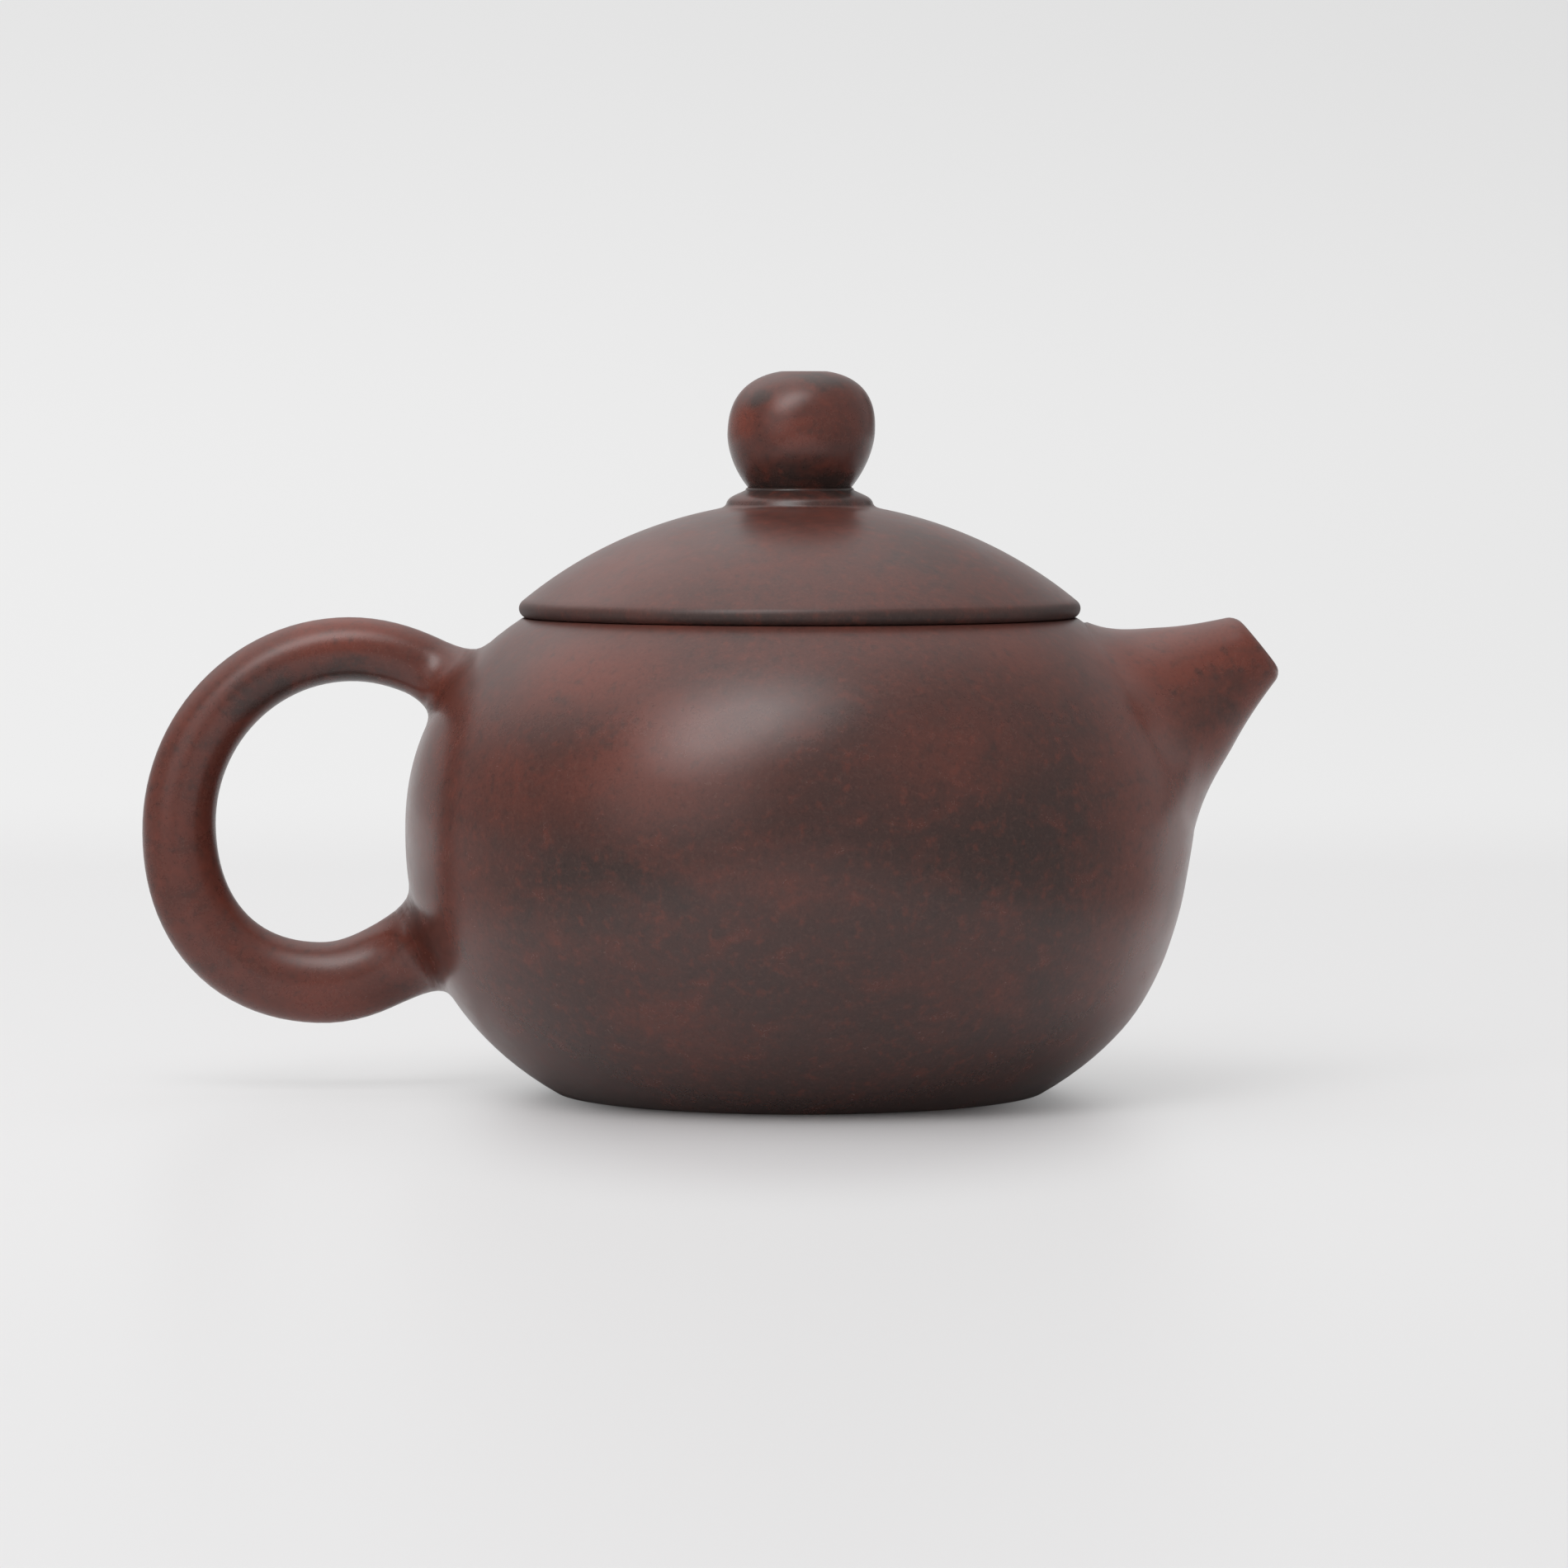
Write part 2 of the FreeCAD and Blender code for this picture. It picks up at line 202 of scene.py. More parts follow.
def body_radius(height, inset=0.0):
    """Radius of the body at a height, outside or, with an inset, inside."""
    rise = height - BELLY_HEIGHT
    half = (upper_half if rise > 0 else lower_half) - inset
    return (belly_radius - inset) * (1 - (abs(rise) / half) ** FULLNESS) ** (1 / FULLNESS)


def body_curve(low, high, inset=0.0):
    """Points on the body's curve between two heights, dense enough to shade smoothly."""
    heights = [low + (high - low) * i / (2 * LEVELS) for i in range(2 * LEVELS + 1)]
    return [at(body_radius(z, inset), z) for z in heights]


def rounded(before, corner, after, radius, steps=4):
    """A corner of a profile cut back by a short arc, as points."""
    back, on = (before - corner).normalized(), (after - corner).normalized()
    half = back.angle(on) / 2
    centre = corner + (back + on).normalized() * radius * MM / math.sin(half)
    start = corner + back * radius * MM / math.tan(half) - centre
    end = corner + on * radius * MM / math.tan(half) - centre
    spokes = [start.slerp(end, i / steps).normalized() for i in range(steps + 1)]
    return [centre + spoke * radius * MM for spoke in spokes]


outside = body_curve(0, rim_height)
inner_top = rim_height - EDGE_ROUND
while body_radius(inner_top, WALL) < MOUTH_OPENING:
    inner_top -= EDGE_ROUND
inside = body_curve(FLOOR_HEIGHT, inner_top, WALL)
foot = rounded(at(DISC_RADIUS, 0), outside[0], outside[1], EDGE_ROUND)
rim = rounded(outside[-2], outside[-1], at(MOUTH_OPENING, rim_height), EDGE_ROUND)
seat = [at(MOUTH_OPENING, rim_height), at(MOUTH_OPENING, inner_top)]
floor_edge = [at(DISC_RADIUS, FLOOR_HEIGHT), at(DISC_RADIUS, 0)]
wall = turned("clay_wall", foot + outside[1:-1] + rim + seat + inside[::-1] + floor_edge)

# %% [markdown]
# ## A press of the thumb
# No hand-built pot is perfectly round. When the spout's joint was smoothed, the wall below it was
# eased in by a little over half a millimetre, so the line from lip to foot is one easy curve. It
# could be sculpted with a brush. Proportional editing does what a thumb does, and the same way each
# time: the picked patch moves, and the clay round it follows less and less.

# %% Eased wall
EASE_HEIGHT = 21.0
EASE_DEPTH = 0.65
EASE_HALF_WIDTH = 14.0  # patch that moves all the way
EASE_HALF_HEIGHT = 3.0
EASE_FALLOFF = 12.0


def nudge(piece, picked, shift, falloff):
    """Moves the vertices that a test picks, and those round them less and less."""
    bpy.ops.object.mode_set(mode="EDIT")
    pick(piece, picked)
    bpy.ops.transform.translate(
        value=shift,
        use_proportional_edit=True,
        proportional_edit_falloff="SMOOTH",
        proportional_size=falloff * MM,
    )
    bpy.ops.object.mode_set(mode="OBJECT")
    print(piece.name, "nudged by", round(shift.length / MM, 2), "mm")


def below_spout(x, y, z):
    return x > 0 and abs(y) < EASE_HALF_WIDTH and abs(z - EASE_HEIGHT) < EASE_HALF_HEIGHT


nudge(wall, below_spout, at(-EASE_DEPTH, 0), EASE_FALLOFF)

# %% [markdown]
# ## Base disc and mouth ring
# The bottom of such a pot is a disc let into the wall, pressed in a little so that the pot stands
# on a ring. The mouth gets a strip of clay on the inside, which guides the lid. Both are turned
# from a short profile. The disc's profile starts and ends on the axis, so it isn't closed: the
# spin closes it, and the weld gathers its two poles.

# %% Base disc and mouth ring
BASE_RECESS = 0.5
BASE_DISH = 0.8
MOUTH_RADIUS = 27.5
MOUTH_RING_DEPTH = 5.5
DISH_STEPS = 12

under = []
for i in range(DISH_STEPS + 1):
    share = i / DISH_STEPS
    under.append(at(DISC_RADIUS * share, BASE_RECESS + BASE_DISH * (1 - share**2)))
disc_top = [at(DISC_RADIUS, FLOOR_HEIGHT), at(0, FLOOR_HEIGHT)]
base = turned("clay_base", under + disc_top, closed=False)

ring_low = rim_height - MOUTH_RING_DEPTH
top_back, low_back = at(MOUTH_OPENING, rim_height), at(MOUTH_OPENING, ring_low)
top_lip, low_lip = at(MOUTH_RADIUS, rim_height), at(MOUTH_RADIUS, ring_low)
lips = rounded(top_back, top_lip, low_lip, EDGE_ROUND)
lips += rounded(top_lip, low_lip, low_back, EDGE_ROUND)
mouth_ring = turned("clay_mouth_ring", [top_back] + lips + [low_back])

# %% [markdown]
# ## Drawing out a limb
# Spout and handle aren't round about the pot's axis. A potter pulls them out of a roll of clay, and
# the mesh is made in the same spirit: a circle is extruded into a straight stack of rings, and each
# ring is then widened, tilted and carried to its place. A skin or a bevelled curve would be
# quicker, but neither gives ovals that change from ring to ring. The last rings widen into a hem,
# and a Shrinkwrap modifier lays the hem on the wall, more and more towards its edge, as a thumb
# smears the joint until it can't be seen.

# %% Ring stacks and hems
RING_SIDES = 96
HEM_LIFT = 0.02  # of the hem above the wall
HEM_SINK = 0.04  # of the hem's edge into the wall


def stack(name, rings):
    """A tube through ovals: each ring is (middle point, heading, half height, half width)."""
    bpy.ops.object.select_all(action="DESELECT")
    bpy.ops.mesh.primitive_circle_add(vertices=RING_SIDES, radius=MM)
    piece = begin(name)
    for _ in rings[1:]:
        bpy.ops.mesh.extrude_region_move(TRANSFORM_OT_translate={"value": (0, 0, MM)})
    levels = [round(vertex.co.z / MM) for vertex in bmesh.from_edit_mesh(piece.data).verts]
    for level, (middle, tilt, high, wide) in enumerate(rings):
        mesh = bmesh.from_edit_mesh(piece.data)
        for vertex, own_level in zip(mesh.verts, levels):
            vertex.select_set(own_level == level)
        mesh.select_flush_mode()
        bmesh.update_edit_mesh(piece.data)
        start = Vector((0, 0, level * MM))
        bpy.ops.transform.resize(value=(high, wide, 1), center_override=start)
        turn = math.radians(tilt - 90)
        bpy.ops.transform.rotate(value=turn, orient_axis="Y", center_override=start)
        bpy.ops.transform.translate(value=middle - start)
    bpy.ops.object.mode_set(mode="OBJECT")
    return piece, levels


def smooth_step(share):
    share = min(max(share, 0.0), 1.0)
    return share * share * (3 - 2 * share)


def lay_hem(piece, levels, shares, edges):
    """Lays rings on the wall by their share, and sinks the rings at the hem's edge into it."""
    for group_name, offset, weights in (
        ("hem", HEM_LIFT, shares),
        ("edge", -HEM_SINK, {level: 1.0 for level in edges}),
    ):
        group = piece.vertex_groups.new(name=group_name)
        for index, level in enumerate(levels):
            if weights.get(level, 0) > 0:
                group.add([index], weights[level], "REPLACE")
        wrap = piece.modifiers.new(group_name, "SHRINKWRAP")
        wrap.target = wall
        wrap.wrap_method = "NEAREST_SURFACEPOINT"
        wrap.wrap_mode = "ABOVE_SURFACE"
        wrap.offset = offset * MM
        wrap.vertex_group = group_name
        bpy.ops.object.modifier_apply(modifier=group_name)


def blend_shading(piece):
    """Lets the hem borrow the wall's normals, so that no line shows where it ends."""
    borrow = piece.modifiers.new("borrow", "DATA_TRANSFER")
    borrow.object = wall
    borrow.use_loop_data = True
    borrow.data_types_loops = {"CUSTOM_NORMAL"}
    borrow.loop_mapping = "POLYINTERP_NEAREST"
    borrow.vertex_group = "hem"
    bpy.ops.object.modifier_apply(modifier="borrow")


def close_limb(piece, close):
    """Closes a limb's open ends with an operator, and blends it into the wall."""
    bpy.ops.object.mode_set(mode="EDIT")
    bpy.ops.mesh.select_all(action="DESELECT")
    bpy.ops.mesh.select_non_manifold()
    close()
    finish_mesh(piece)
    blend_shading(piece)


print("sides of a ring:", RING_SIDES)

# %% [markdown]
# ## The spout
# The spout is a short horn. Its middle line rises, its rings tilt back towards the root, and near
# the body they flare, more to the sides than upwards, so that the horn grows out of the belly with
# a soft valley and no line. The lip is rounded outside and inside, and the passage inside widens
# to the opening in the wall. From there more rings run back under the hem, just inside the wall,
# and bridging the last one to the hem's edge closes the mesh.

# %% Spout
TIP = at(52.4, 51.0)  # middle of the mouth
TIP_RADIUS = 4.15
SPOUT_LENGTH = 17.4
SPOUT_RISE = 35.1  # slope of the middle line
MOUTH_TILT = 39.0
ROOT_TILT = 26.5
SPOUT_BOW = 0.2  # of the middle line, upwards
TAPER = 0.36  # gain in radius per millimetre
FLARE_HIGH, FLARE_HIGH_POWER = 4.2, 2.6
FLARE_WIDE, FLARE_WIDE_POWER = 9.0, 2.4
LIP_ROUND = 1.1
BORE_RADIUS = 2.75
BORE_ROUND = 0.3
THROAT_RADIUS = 7.0
THROAT_SHARE = 0.75  # of the length, where the passage is at its widest
HORN_END = 0.93  # share of the length at which the hem begins
HORN_RINGS = 28
HEM_RINGS = 14
HEM_TOP_DROP = 0.6  # hem's edge below the rim
HEM_BOTTOM = 20.0
HEM_WIDE = 27.0
LIP_STEPS = 5
PASSAGE_RINGS = 12


def spout_station(share):
    """Middle point and tilt of the spout's ring at a share of its length."""
    middle = TIP - heading(SPOUT_RISE) * SPOUT_LENGTH * share
    middle += heading(SPOUT_RISE + 90) * SPOUT_BOW * 4 * share * (1 - share)
    return middle, MOUTH_TILT + (ROOT_TILT - MOUTH_TILT) * share


def horn_ring(share, inset=0.0):
    """Ring on the outside of the horn, drawn in by an inset at the lip."""
    middle, tilt = spout_station(share)
    radius = TIP_RADIUS + TAPER * SPOUT_LENGTH * share - inset
    high = radius + FLARE_HIGH * share**FLARE_HIGH_POWER
    wide = radius + FLARE_WIDE * share**FLARE_WIDE_POWER
    return middle, tilt, high, wide


def between(ring, other, share):
    """Ring part of the way from one ring to another."""
    middle = ring[0].lerp(other[0], share)
    return (middle, *[a + (b - a) * share for a, b in zip(ring[1:], other[1:])])


hem_top = at(body_radius(rim_height - HEM_TOP_DROP), rim_height - HEM_TOP_DROP)
hem_bottom = at(body_radius(HEM_BOTTOM), HEM_BOTTOM)
hem_up = (hem_top - hem_bottom) / MM
hem_tilt = math.degrees(math.atan2(hem_up.z, hem_up.x)) - 90
hem_ring = ((hem_top + hem_bottom) / 2, hem_tilt, hem_up.length / 2, HEM_WIDE)
spout_rings = [between(hem_ring, horn_ring(HORN_END), i / HEM_RINGS) for i in range(HEM_RINGS)]
lip_share = LIP_ROUND / SPOUT_LENGTH
for i in range(HORN_RINGS + 1):
    spout_rings.append(horn_ring(HORN_END + (lip_share - HORN_END) * i / HORN_RINGS))
for i in range(1, LIP_STEPS + 1):
    angle = math.pi / 2 * i / LIP_STEPS
    inset = LIP_ROUND * (1 - math.cos(angle))
    spout_rings.append(horn_ring(lip_share * (1 - math.sin(angle)), inset))
for i in range(LIP_STEPS + 1):
    angle = math.pi / 2 * i / LIP_STEPS
    middle, tilt = spout_station(BORE_ROUND / SPOUT_LENGTH * (1 - math.cos(angle)))
    bore = BORE_RADIUS + BORE_ROUND * (1 - math.sin(angle))
    spout_rings.append((middle, tilt, bore, bore))
for i in range(1, PASSAGE_RINGS + 1):
    share = i / PASSAGE_RINGS
    middle, tilt = spout_station(share)
    bore = BORE_RADIUS + (THROAT_RADIUS - BORE_RADIUS) * smooth_step(share / THROAT_SHARE)
    spout_rings.append((middle, tilt, bore, bore))
passage_end = len(spout_rings)
for i in range(1, HEM_RINGS):
    spout_rings.append(between(spout_rings[passage_end - 1], hem_ring, i / HEM_RINGS))

spout, spout_levels = stack("clay_spout", spout_rings)
laid = {i: 1 - smooth_step(i / (2 * HEM_RINGS)) for i in range(2 * HEM_RINGS)}
lay_hem(spout, spout_levels, laid, [0, *range(passage_end, len(spout_rings))])
close_limb(spout, bpy.ops.mesh.bridge_edge_loops)

# %% [markdown]
# ## The opening and its strainer
# The spout opens into the pot through a round hole, and a pierced half ball of clay over that hole
# keeps the leaves back. The hole is cut out of the wall with a Boolean. The ball starts as a sphere
# that is bisected across the spout's axis and thickened inwards. Its small holes are drilled by
# one cutter made of rods that all point at the ball's middle, ring by ring.

# %% Spout opening and strainer
STRAINER_RADIUS = 9.5
STRAINER_WALL = 1.6
STRAINER_HOLE = 0.9
STRAINER_RINGS = ((1, 0), (6, 23), (12, 46), (18, 68))  # holes, degrees from the middle
STRAINER_SINK = 0.5  # rim of the ball inside the wall
STRAINER_SIDES = 48
HOLE_SIDES = 16

root, root_tilt = spout_station(1.0)
inward = -heading(root_tilt).normalized()


def cut_away(piece, cutter):
    """Takes the cutter's volume out of a piece, and removes the cutter."""
    bpy.context.view_layer.objects.active = piece
    boolean = piece.modifiers.new("cut", "BOOLEAN")
    boolean.operation = "DIFFERENCE"
    boolean.solver = "EXACT"
    boolean.object = cutter
    bpy.ops.object.modifier_apply(modifier="cut")
    bpy.data.objects.remove(cutter)


def rod(middle, direction, radius, length, sides):
    """A round rod about a point, to cut with."""
    bpy.ops.object.select_all(action="DESELECT")
    turn = direction.to_track_quat("Z", "Y").to_euler()
    bpy.ops.mesh.primitive_cylinder_add(
        vertices=sides, radius=radius * MM, depth=length * MM, location=middle, rotation=turn
    )
    return bpy.context.object


cut_away(wall, rod(root, inward, THROAT_RADIUS, 2 * SPOUT_LENGTH, RING_SIDES))

bpy.ops.object.select_all(action="DESELECT")
bpy.ops.mesh.primitive_uv_sphere_add(
    segments=STRAINER_SIDES,
    ring_count=STRAINER_SIDES // 2,
    radius=STRAINER_RADIUS * MM,
    location=root,
)
bpy.ops.object.transform_apply(location=True, rotation=True, scale=True)
strainer = begin("clay_strainer")
bpy.ops.mesh.bisect(
    plane_co=root - inward * STRAINER_SINK * MM, plane_no=inward, clear_inner=True, use_fill=False
)
bpy.ops.object.mode_set(mode="OBJECT")
shell = strainer.modifiers.new("shell", "SOLIDIFY")
shell.thickness = STRAINER_WALL * MM
shell.offset = -1
bpy.ops.object.modifier_apply(modifier="shell")

rods = []
sideways = Vector((0, 1, 0))
for count, degrees in STRAINER_RINGS:
    lean = math.radians(degrees)
    for i in range(count):
        around = 2 * math.pi * i / count
        side = sideways * math.cos(around) + inward.cross(sideways) * math.sin(around)
        out = inward * math.cos(lean) + side * math.sin(lean)
        place = root + out * (STRAINER_RADIUS - STRAINER_WALL / 2) * MM
        rods.append(rod(place, out, STRAINER_HOLE, 3 * STRAINER_WALL, HOLE_SIDES))
bpy.ops.object.select_all(action="DESELECT")
for one in rods:
    one.select_set(True)
bpy.context.view_layer.objects.active = rods[0]
bpy.ops.object.join()
cut_away(strainer, rods[0])
for piece in (wall, strainer):
    bpy.ops.object.select_all(action="DESELECT")
    piece.select_set(True)
    bpy.context.view_layer.objects.active = piece
    bpy.ops.object.shade_smooth_by_angle(angle=SMOOTH_ANGLE)
    print(piece.name, "faces after cutting:", len(piece.data.polygons))

# %% [markdown]
# ## The handle
# The handle is a solid roll of clay bent into a ring, slimmer at the top and thicker below. Its
# middle line is four Bezier pieces, as one would draw it with the curve tool: out of the wall, over
# the top, round the outside and back in. The rings stand square to that line. Near the wall they
# spread like a fillet, more to the sides than in height, turn to face the wall and are laid on it
# as the spout's hem is.

# %% Handle
UPPER_ROOT = 46.8  # heights at which the middle line meets the wall
LOWER_ROOT = 16.8
ROOT_SLOPE = 28.0
HANDLE_TOP = at(-51.2, 50.4)
HANDLE_OUTER = at(-70.9, 30.0)
HANDLE_BOTTOM = at(-54.6, 12.25)
TOP_SECTION = (7.2, 7.8)  # thickness and width
BOTTOM_SECTION = (9.4, 8.8)
ROOT_RUN = (4.6, 6.5)  # length over which the upper and the lower root widen
ROOT_GROWTH = (2.8, 3.0)  # gain in half height
ROOT_SPREAD = (5.0, 6.5)  # gain in half width
ROUND_RINGS = 10
HANDLE_RINGS = 64
QUARTER = 0.5523  # Bezier handle that makes a quarter ellipse
LOW_QUARTER = 0.61  # fuller, for the lower outside
REACH = 0.36  # of a root's Bezier handles, as a share of its span
LINE_STEPS = 60

upper_root = at(-body_radius(UPPER_ROOT), UPPER_ROOT)
lower_root = at(-body_radius(LOWER_ROOT), LOWER_ROOT)


def bezier(start, start_pull, end_pull, end, steps=LINE_STEPS):
    """Points on a Bezier curve between two points, each with its own pull."""
    points = interpolate_bezier(start, start + start_pull, end + end_pull, end, steps)
    return [point.to_3d() for point in points]


def handle_line():
    """The middle line from the upper root to the lower one, as points."""
    top_gap = (HANDLE_TOP - upper_root).length / MM * REACH
    low_gap = (HANDLE_BOTTOM - lower_root).length / MM * REACH
    across, down = HANDLE_TOP.x - HANDLE_OUTER.x, HANDLE_TOP.z - HANDLE_OUTER.z
    low_across, low_down = HANDLE_BOTTOM.x - HANDLE_OUTER.x, HANDLE_OUTER.z - HANDLE_BOTTOM.z
    out, up = Vector((-1, 0, 0)), Vector((0, 0, 1))
    pulls = heading(180 - ROOT_SLOPE) * top_gap, -out * top_gap * MM
    points = bezier(upper_root, *pulls, HANDLE_TOP)
    pulls = out * across * QUARTER, up * down * QUARTER
    points += bezier(HANDLE_TOP, *pulls, HANDLE_OUTER)[1:]
    pulls = -up * low_down * LOW_QUARTER, out * low_across * LOW_QUARTER
    points += bezier(HANDLE_OUTER, *pulls, HANDLE_BOTTOM)[1:]
    pulls = -out * low_gap * MM, heading(180 + ROOT_SLOPE) * low_gap
    points += bezier(HANDLE_BOTTOM, *pulls, lower_root)[1:]
    return points


line = handle_line()
run = [0.0]
for here, there in zip(line, line[1:]):
    run.append(run[-1] + (there - here).length / MM)


def on_line(distance):
    """Point and heading of the middle line at a distance from its upper end."""
    i = 0
    while i < len(run) - 2 and run[i + 1] < distance:
        i += 1
    step = line[i + 1] - line[i]
    point = line[i] + step * ((distance - run[i]) / (run[i + 1] - run[i]))
    return point, math.degrees(math.atan2(step.z, step.x)) % 360


def wall_heading(height):
    """Heading of the wall's outward normal on the handle's side."""
    fall = (body_radius(height + EDGE_ROUND) - body_radius(height - EDGE_ROUND)) / (2 * EDGE_ROUND)
    return 180 + math.degrees(math.atan(fall))


def handle_ring(distance, growth=0.0, spread=0.0, face=None, facing=0.0):
    """Ring on the handle, grown by a fillet and turned part of the way to face the wall."""
    middle, tilt = on_line(distance)
    share = (1 - math.cos(math.pi * distance / run[-1])) / 2
    tilt = tilt + 360 if tilt < 90 else tilt
    if face is not None:
        tilt += (face - tilt) * facing
    thick, wide = [a + (b - a) * share for a, b in zip(TOP_SECTION, BOTTOM_SECTION)]
    return middle, tilt, thick / 2 + growth, wide / 2 + spread


root_faces = wall_heading(UPPER_ROOT), wall_heading(LOWER_ROOT) + 180


def root_ring(root, angle):
    """Ring of the upper root, 0, or the lower one, 1, at an angle round its fillet."""
    away, gain = ROOT_RUN[root] * (1 - math.sin(angle)), 1 - math.cos(angle)
    distance = run[-1] - away if root else away
    grown = ROOT_GROWTH[root] * gain, ROOT_SPREAD[root] * gain
    return handle_ring(distance, *grown, root_faces[root], math.sin(angle))


handle_rings = []
for i in range(ROUND_RINGS):
    handle_rings.append(root_ring(0, math.pi / 2 * (1 - i / ROUND_RINGS)))
for i in range(HANDLE_RINGS + 1):
    handle_rings.append(handle_ring(ROOT_RUN[0] + (run[-1] - sum(ROOT_RUN)) * i / HANDLE_RINGS))
for i in range(1, ROUND_RINGS + 1):
    handle_rings.append(root_ring(1, math.pi / 2 * i / ROUND_RINGS))

handle, handle_levels = stack("clay_handle", handle_rings)
last = len(handle_rings) - 1
laid = {}
for i in range(ROUND_RINGS):
    laid[i] = laid[last - i] = 1 - smooth_step(i / ROUND_RINGS)
lay_hem(handle, handle_levels, laid, [0, last])
close_limb(handle, bpy.ops.mesh.edge_face_add)

# %% [markdown]
# ## The lid
# The lid is a shallow dome with a softly rounded edge, and a flange under it drops into the mouth.
# Dome and edge are two arcs that meet tangentially: the edge's centre lies on the line from the
# dome's centre through the point where they touch. A flattened sphere would be quicker, but its
# edge would be sharp. Both pieces are turned. The dome's profile starts at the air hole and not on
# the axis, so the hole goes right through.

# %% Lid dome and flange
LID_RADIUS = 32.0
LID_RISE = 13.3
LID_EDGE = 1.1
LID_WALL = 3.2
AIR_HOLE = 1.0
FLANGE_RADIUS = 27.2
FLANGE_WALL = 2.4
FLANGE_DEPTH = 7.0
FLANGE_ROUND = 0.8
DOME_STEPS = 40
EDGE_STEPS = 14

edge_in = LID_RADIUS - LID_EDGE
edge_drop = LID_RISE - LID_EDGE
dome_radius = (edge_in**2 + edge_drop**2 - LID_EDGE**2) / (2 * (edge_drop - LID_EDGE))
dome_height = rim_height + LID_RISE - dome_radius
dome_centre = at(0, dome_height)
under_radius = dome_radius - LID_WALL


def dome_at(radius, ball):
    """Height of a ball about the dome's centre at a radius."""
    return dome_height + math.sqrt(ball**2 - radius**2)


def dome_angle(radius, ball):
    return math.degrees(math.acos(radius / ball))


touch = math.degrees(math.atan2(rim_height + LID_EDGE - dome_height, edge_in))
under_edge = math.degrees(math.asin((rim_height - dome_height) / under_radius))
dome_out = arc(dome_centre, dome_radius, dome_angle(AIR_HOLE, dome_radius), touch, DOME_STEPS)
dome_edge = arc(at(edge_in, rim_height + LID_EDGE), LID_EDGE, touch, -90, EDGE_STEPS)
dome_in = arc(dome_centre, under_radius, under_edge, dome_angle(AIR_HOLE, under_radius), DOME_STEPS)
lid = turned("clay_lid", dome_out + dome_edge[1:] + dome_in)

flange_low = rim_height - FLANGE_DEPTH
flange_in = FLANGE_RADIUS - FLANGE_WALL
low_out, low_in = at(FLANGE_RADIUS, flange_low), at(flange_in, flange_low)
high_out = at(FLANGE_RADIUS, dome_at(FLANGE_RADIUS, under_radius))
high_in = at(flange_in, dome_at(flange_in, under_radius))
flange_foot = rounded(high_out, low_out, low_in, FLANGE_ROUND)
flange_foot += rounded(low_out, low_in, high_in, EDGE_ROUND)
flange = turned("clay_flange", [high_out] + flange_foot + [high_in])

# %% [markdown]
# ## Knob and collar
# The knob is an apple-shaped ball with a slightly flattened top, seated on a low collar that
# swells a little and then runs out onto the dome. A sphere could be pulled into shape. Here the
# knob's two halves are superellipses of different fullness, steep at the foot and full at the
# shoulder. The collar's rounded top edge catches the light under the knob, as where a wet finger
# ran round the joint.

# %% Knob and collar
NECK_RADIUS = 5.9
NECK_RISE = 1.55
BEAD = 0.35  # radius of the collar's rounded top edge
BEAD_IN = 0.05  # its middle, inside the neck
BEAD_FROM = 5  # heading at which it begins
COLLAR_HEM = 10.2  # radius at which the collar has run out onto the dome
COLLAR_SHOULDER = at(8.4, 66.95)
SKIRT_PULLS = at(-1.1, 0.24), at(0.2, -0.42)  # from the hem up to the shoulder
SLOPE_PULLS = at(-0.2, 0.9), heading(-28) * 1.1  # from the shoulder up to the bead
COLLAR_STEPS = 10
KNOB_RADIUS = 8.4
KNOB_HEIGHT = 13.2
KNOB_BELLY = 6.2
KNOB_TOP_FULLNESS = 2.52
KNOB_FOOT_FULLNESS = 1.75
KNOB_FLAT = 2.6
KNOB_LEVELS = 44
KNOB_LEAN = 0.5  # sideways, of the top

neck_height = rim_height + LID_RISE + NECK_RISE
neck = at(NECK_RADIUS, neck_height)
collar_hem = at(COLLAR_HEM, dome_at(COLLAR_HEM, dome_radius))
bead = arc(neck - at(BEAD_IN, BEAD), BEAD, BEAD_FROM, 90, COLLAR_STEPS)
skirt = bezier(collar_hem, *SKIRT_PULLS, COLLAR_SHOULDER, COLLAR_STEPS)
slope = bezier(COLLAR_SHOULDER, *SLOPE_PULLS, bead[0], COLLAR_STEPS)
collar_profile = skirt + slope[1:] + bead[1:]
collar_profile += [at(AIR_HOLE, neck_height), at(AIR_HOLE, dome_at(AIR_HOLE, dome_radius))]
for i in range(1, DISH_STEPS):
    radius = AIR_HOLE + (COLLAR_HEM - AIR_HOLE) * i / DISH_STEPS
    collar_profile.append(at(radius, dome_at(radius, dome_radius)))
collar = turned("clay_collar", collar_profile)


def knob_radius(rise):
    """Radius of the knob at a rise from its widest ring."""
    end, span, fullness = NECK_RADIUS, KNOB_BELLY, KNOB_FOOT_FULLNESS
    if rise > 0:
        end, span, fullness = KNOB_FLAT, KNOB_HEIGHT - KNOB_BELLY, KNOB_TOP_FULLNESS
    half = span / (1 - (end / KNOB_RADIUS) ** fullness) ** (1 / fullness)
    return KNOB_RADIUS * (1 - (abs(rise) / half) ** fullness) ** (1 / fullness)


knob_profile = []
for i in range(KNOB_LEVELS + 1):
    rise = KNOB_HEIGHT * (1 - math.cos(math.pi * i / KNOB_LEVELS)) / 2
    knob_profile.append(at(knob_radius(rise - KNOB_BELLY), neck_height + rise))
knob_top = neck_height + KNOB_HEIGHT
hole_lip = rounded(knob_profile[-1], at(AIR_HOLE, knob_top), at(AIR_HOLE, neck_height), EDGE_ROUND)
knob = turned("clay_knob", knob_profile + hole_lip + [at(AIR_HOLE, neck_height)])


def at_knob_top(x, y, z):
    return z > knob_top - EDGE_ROUND


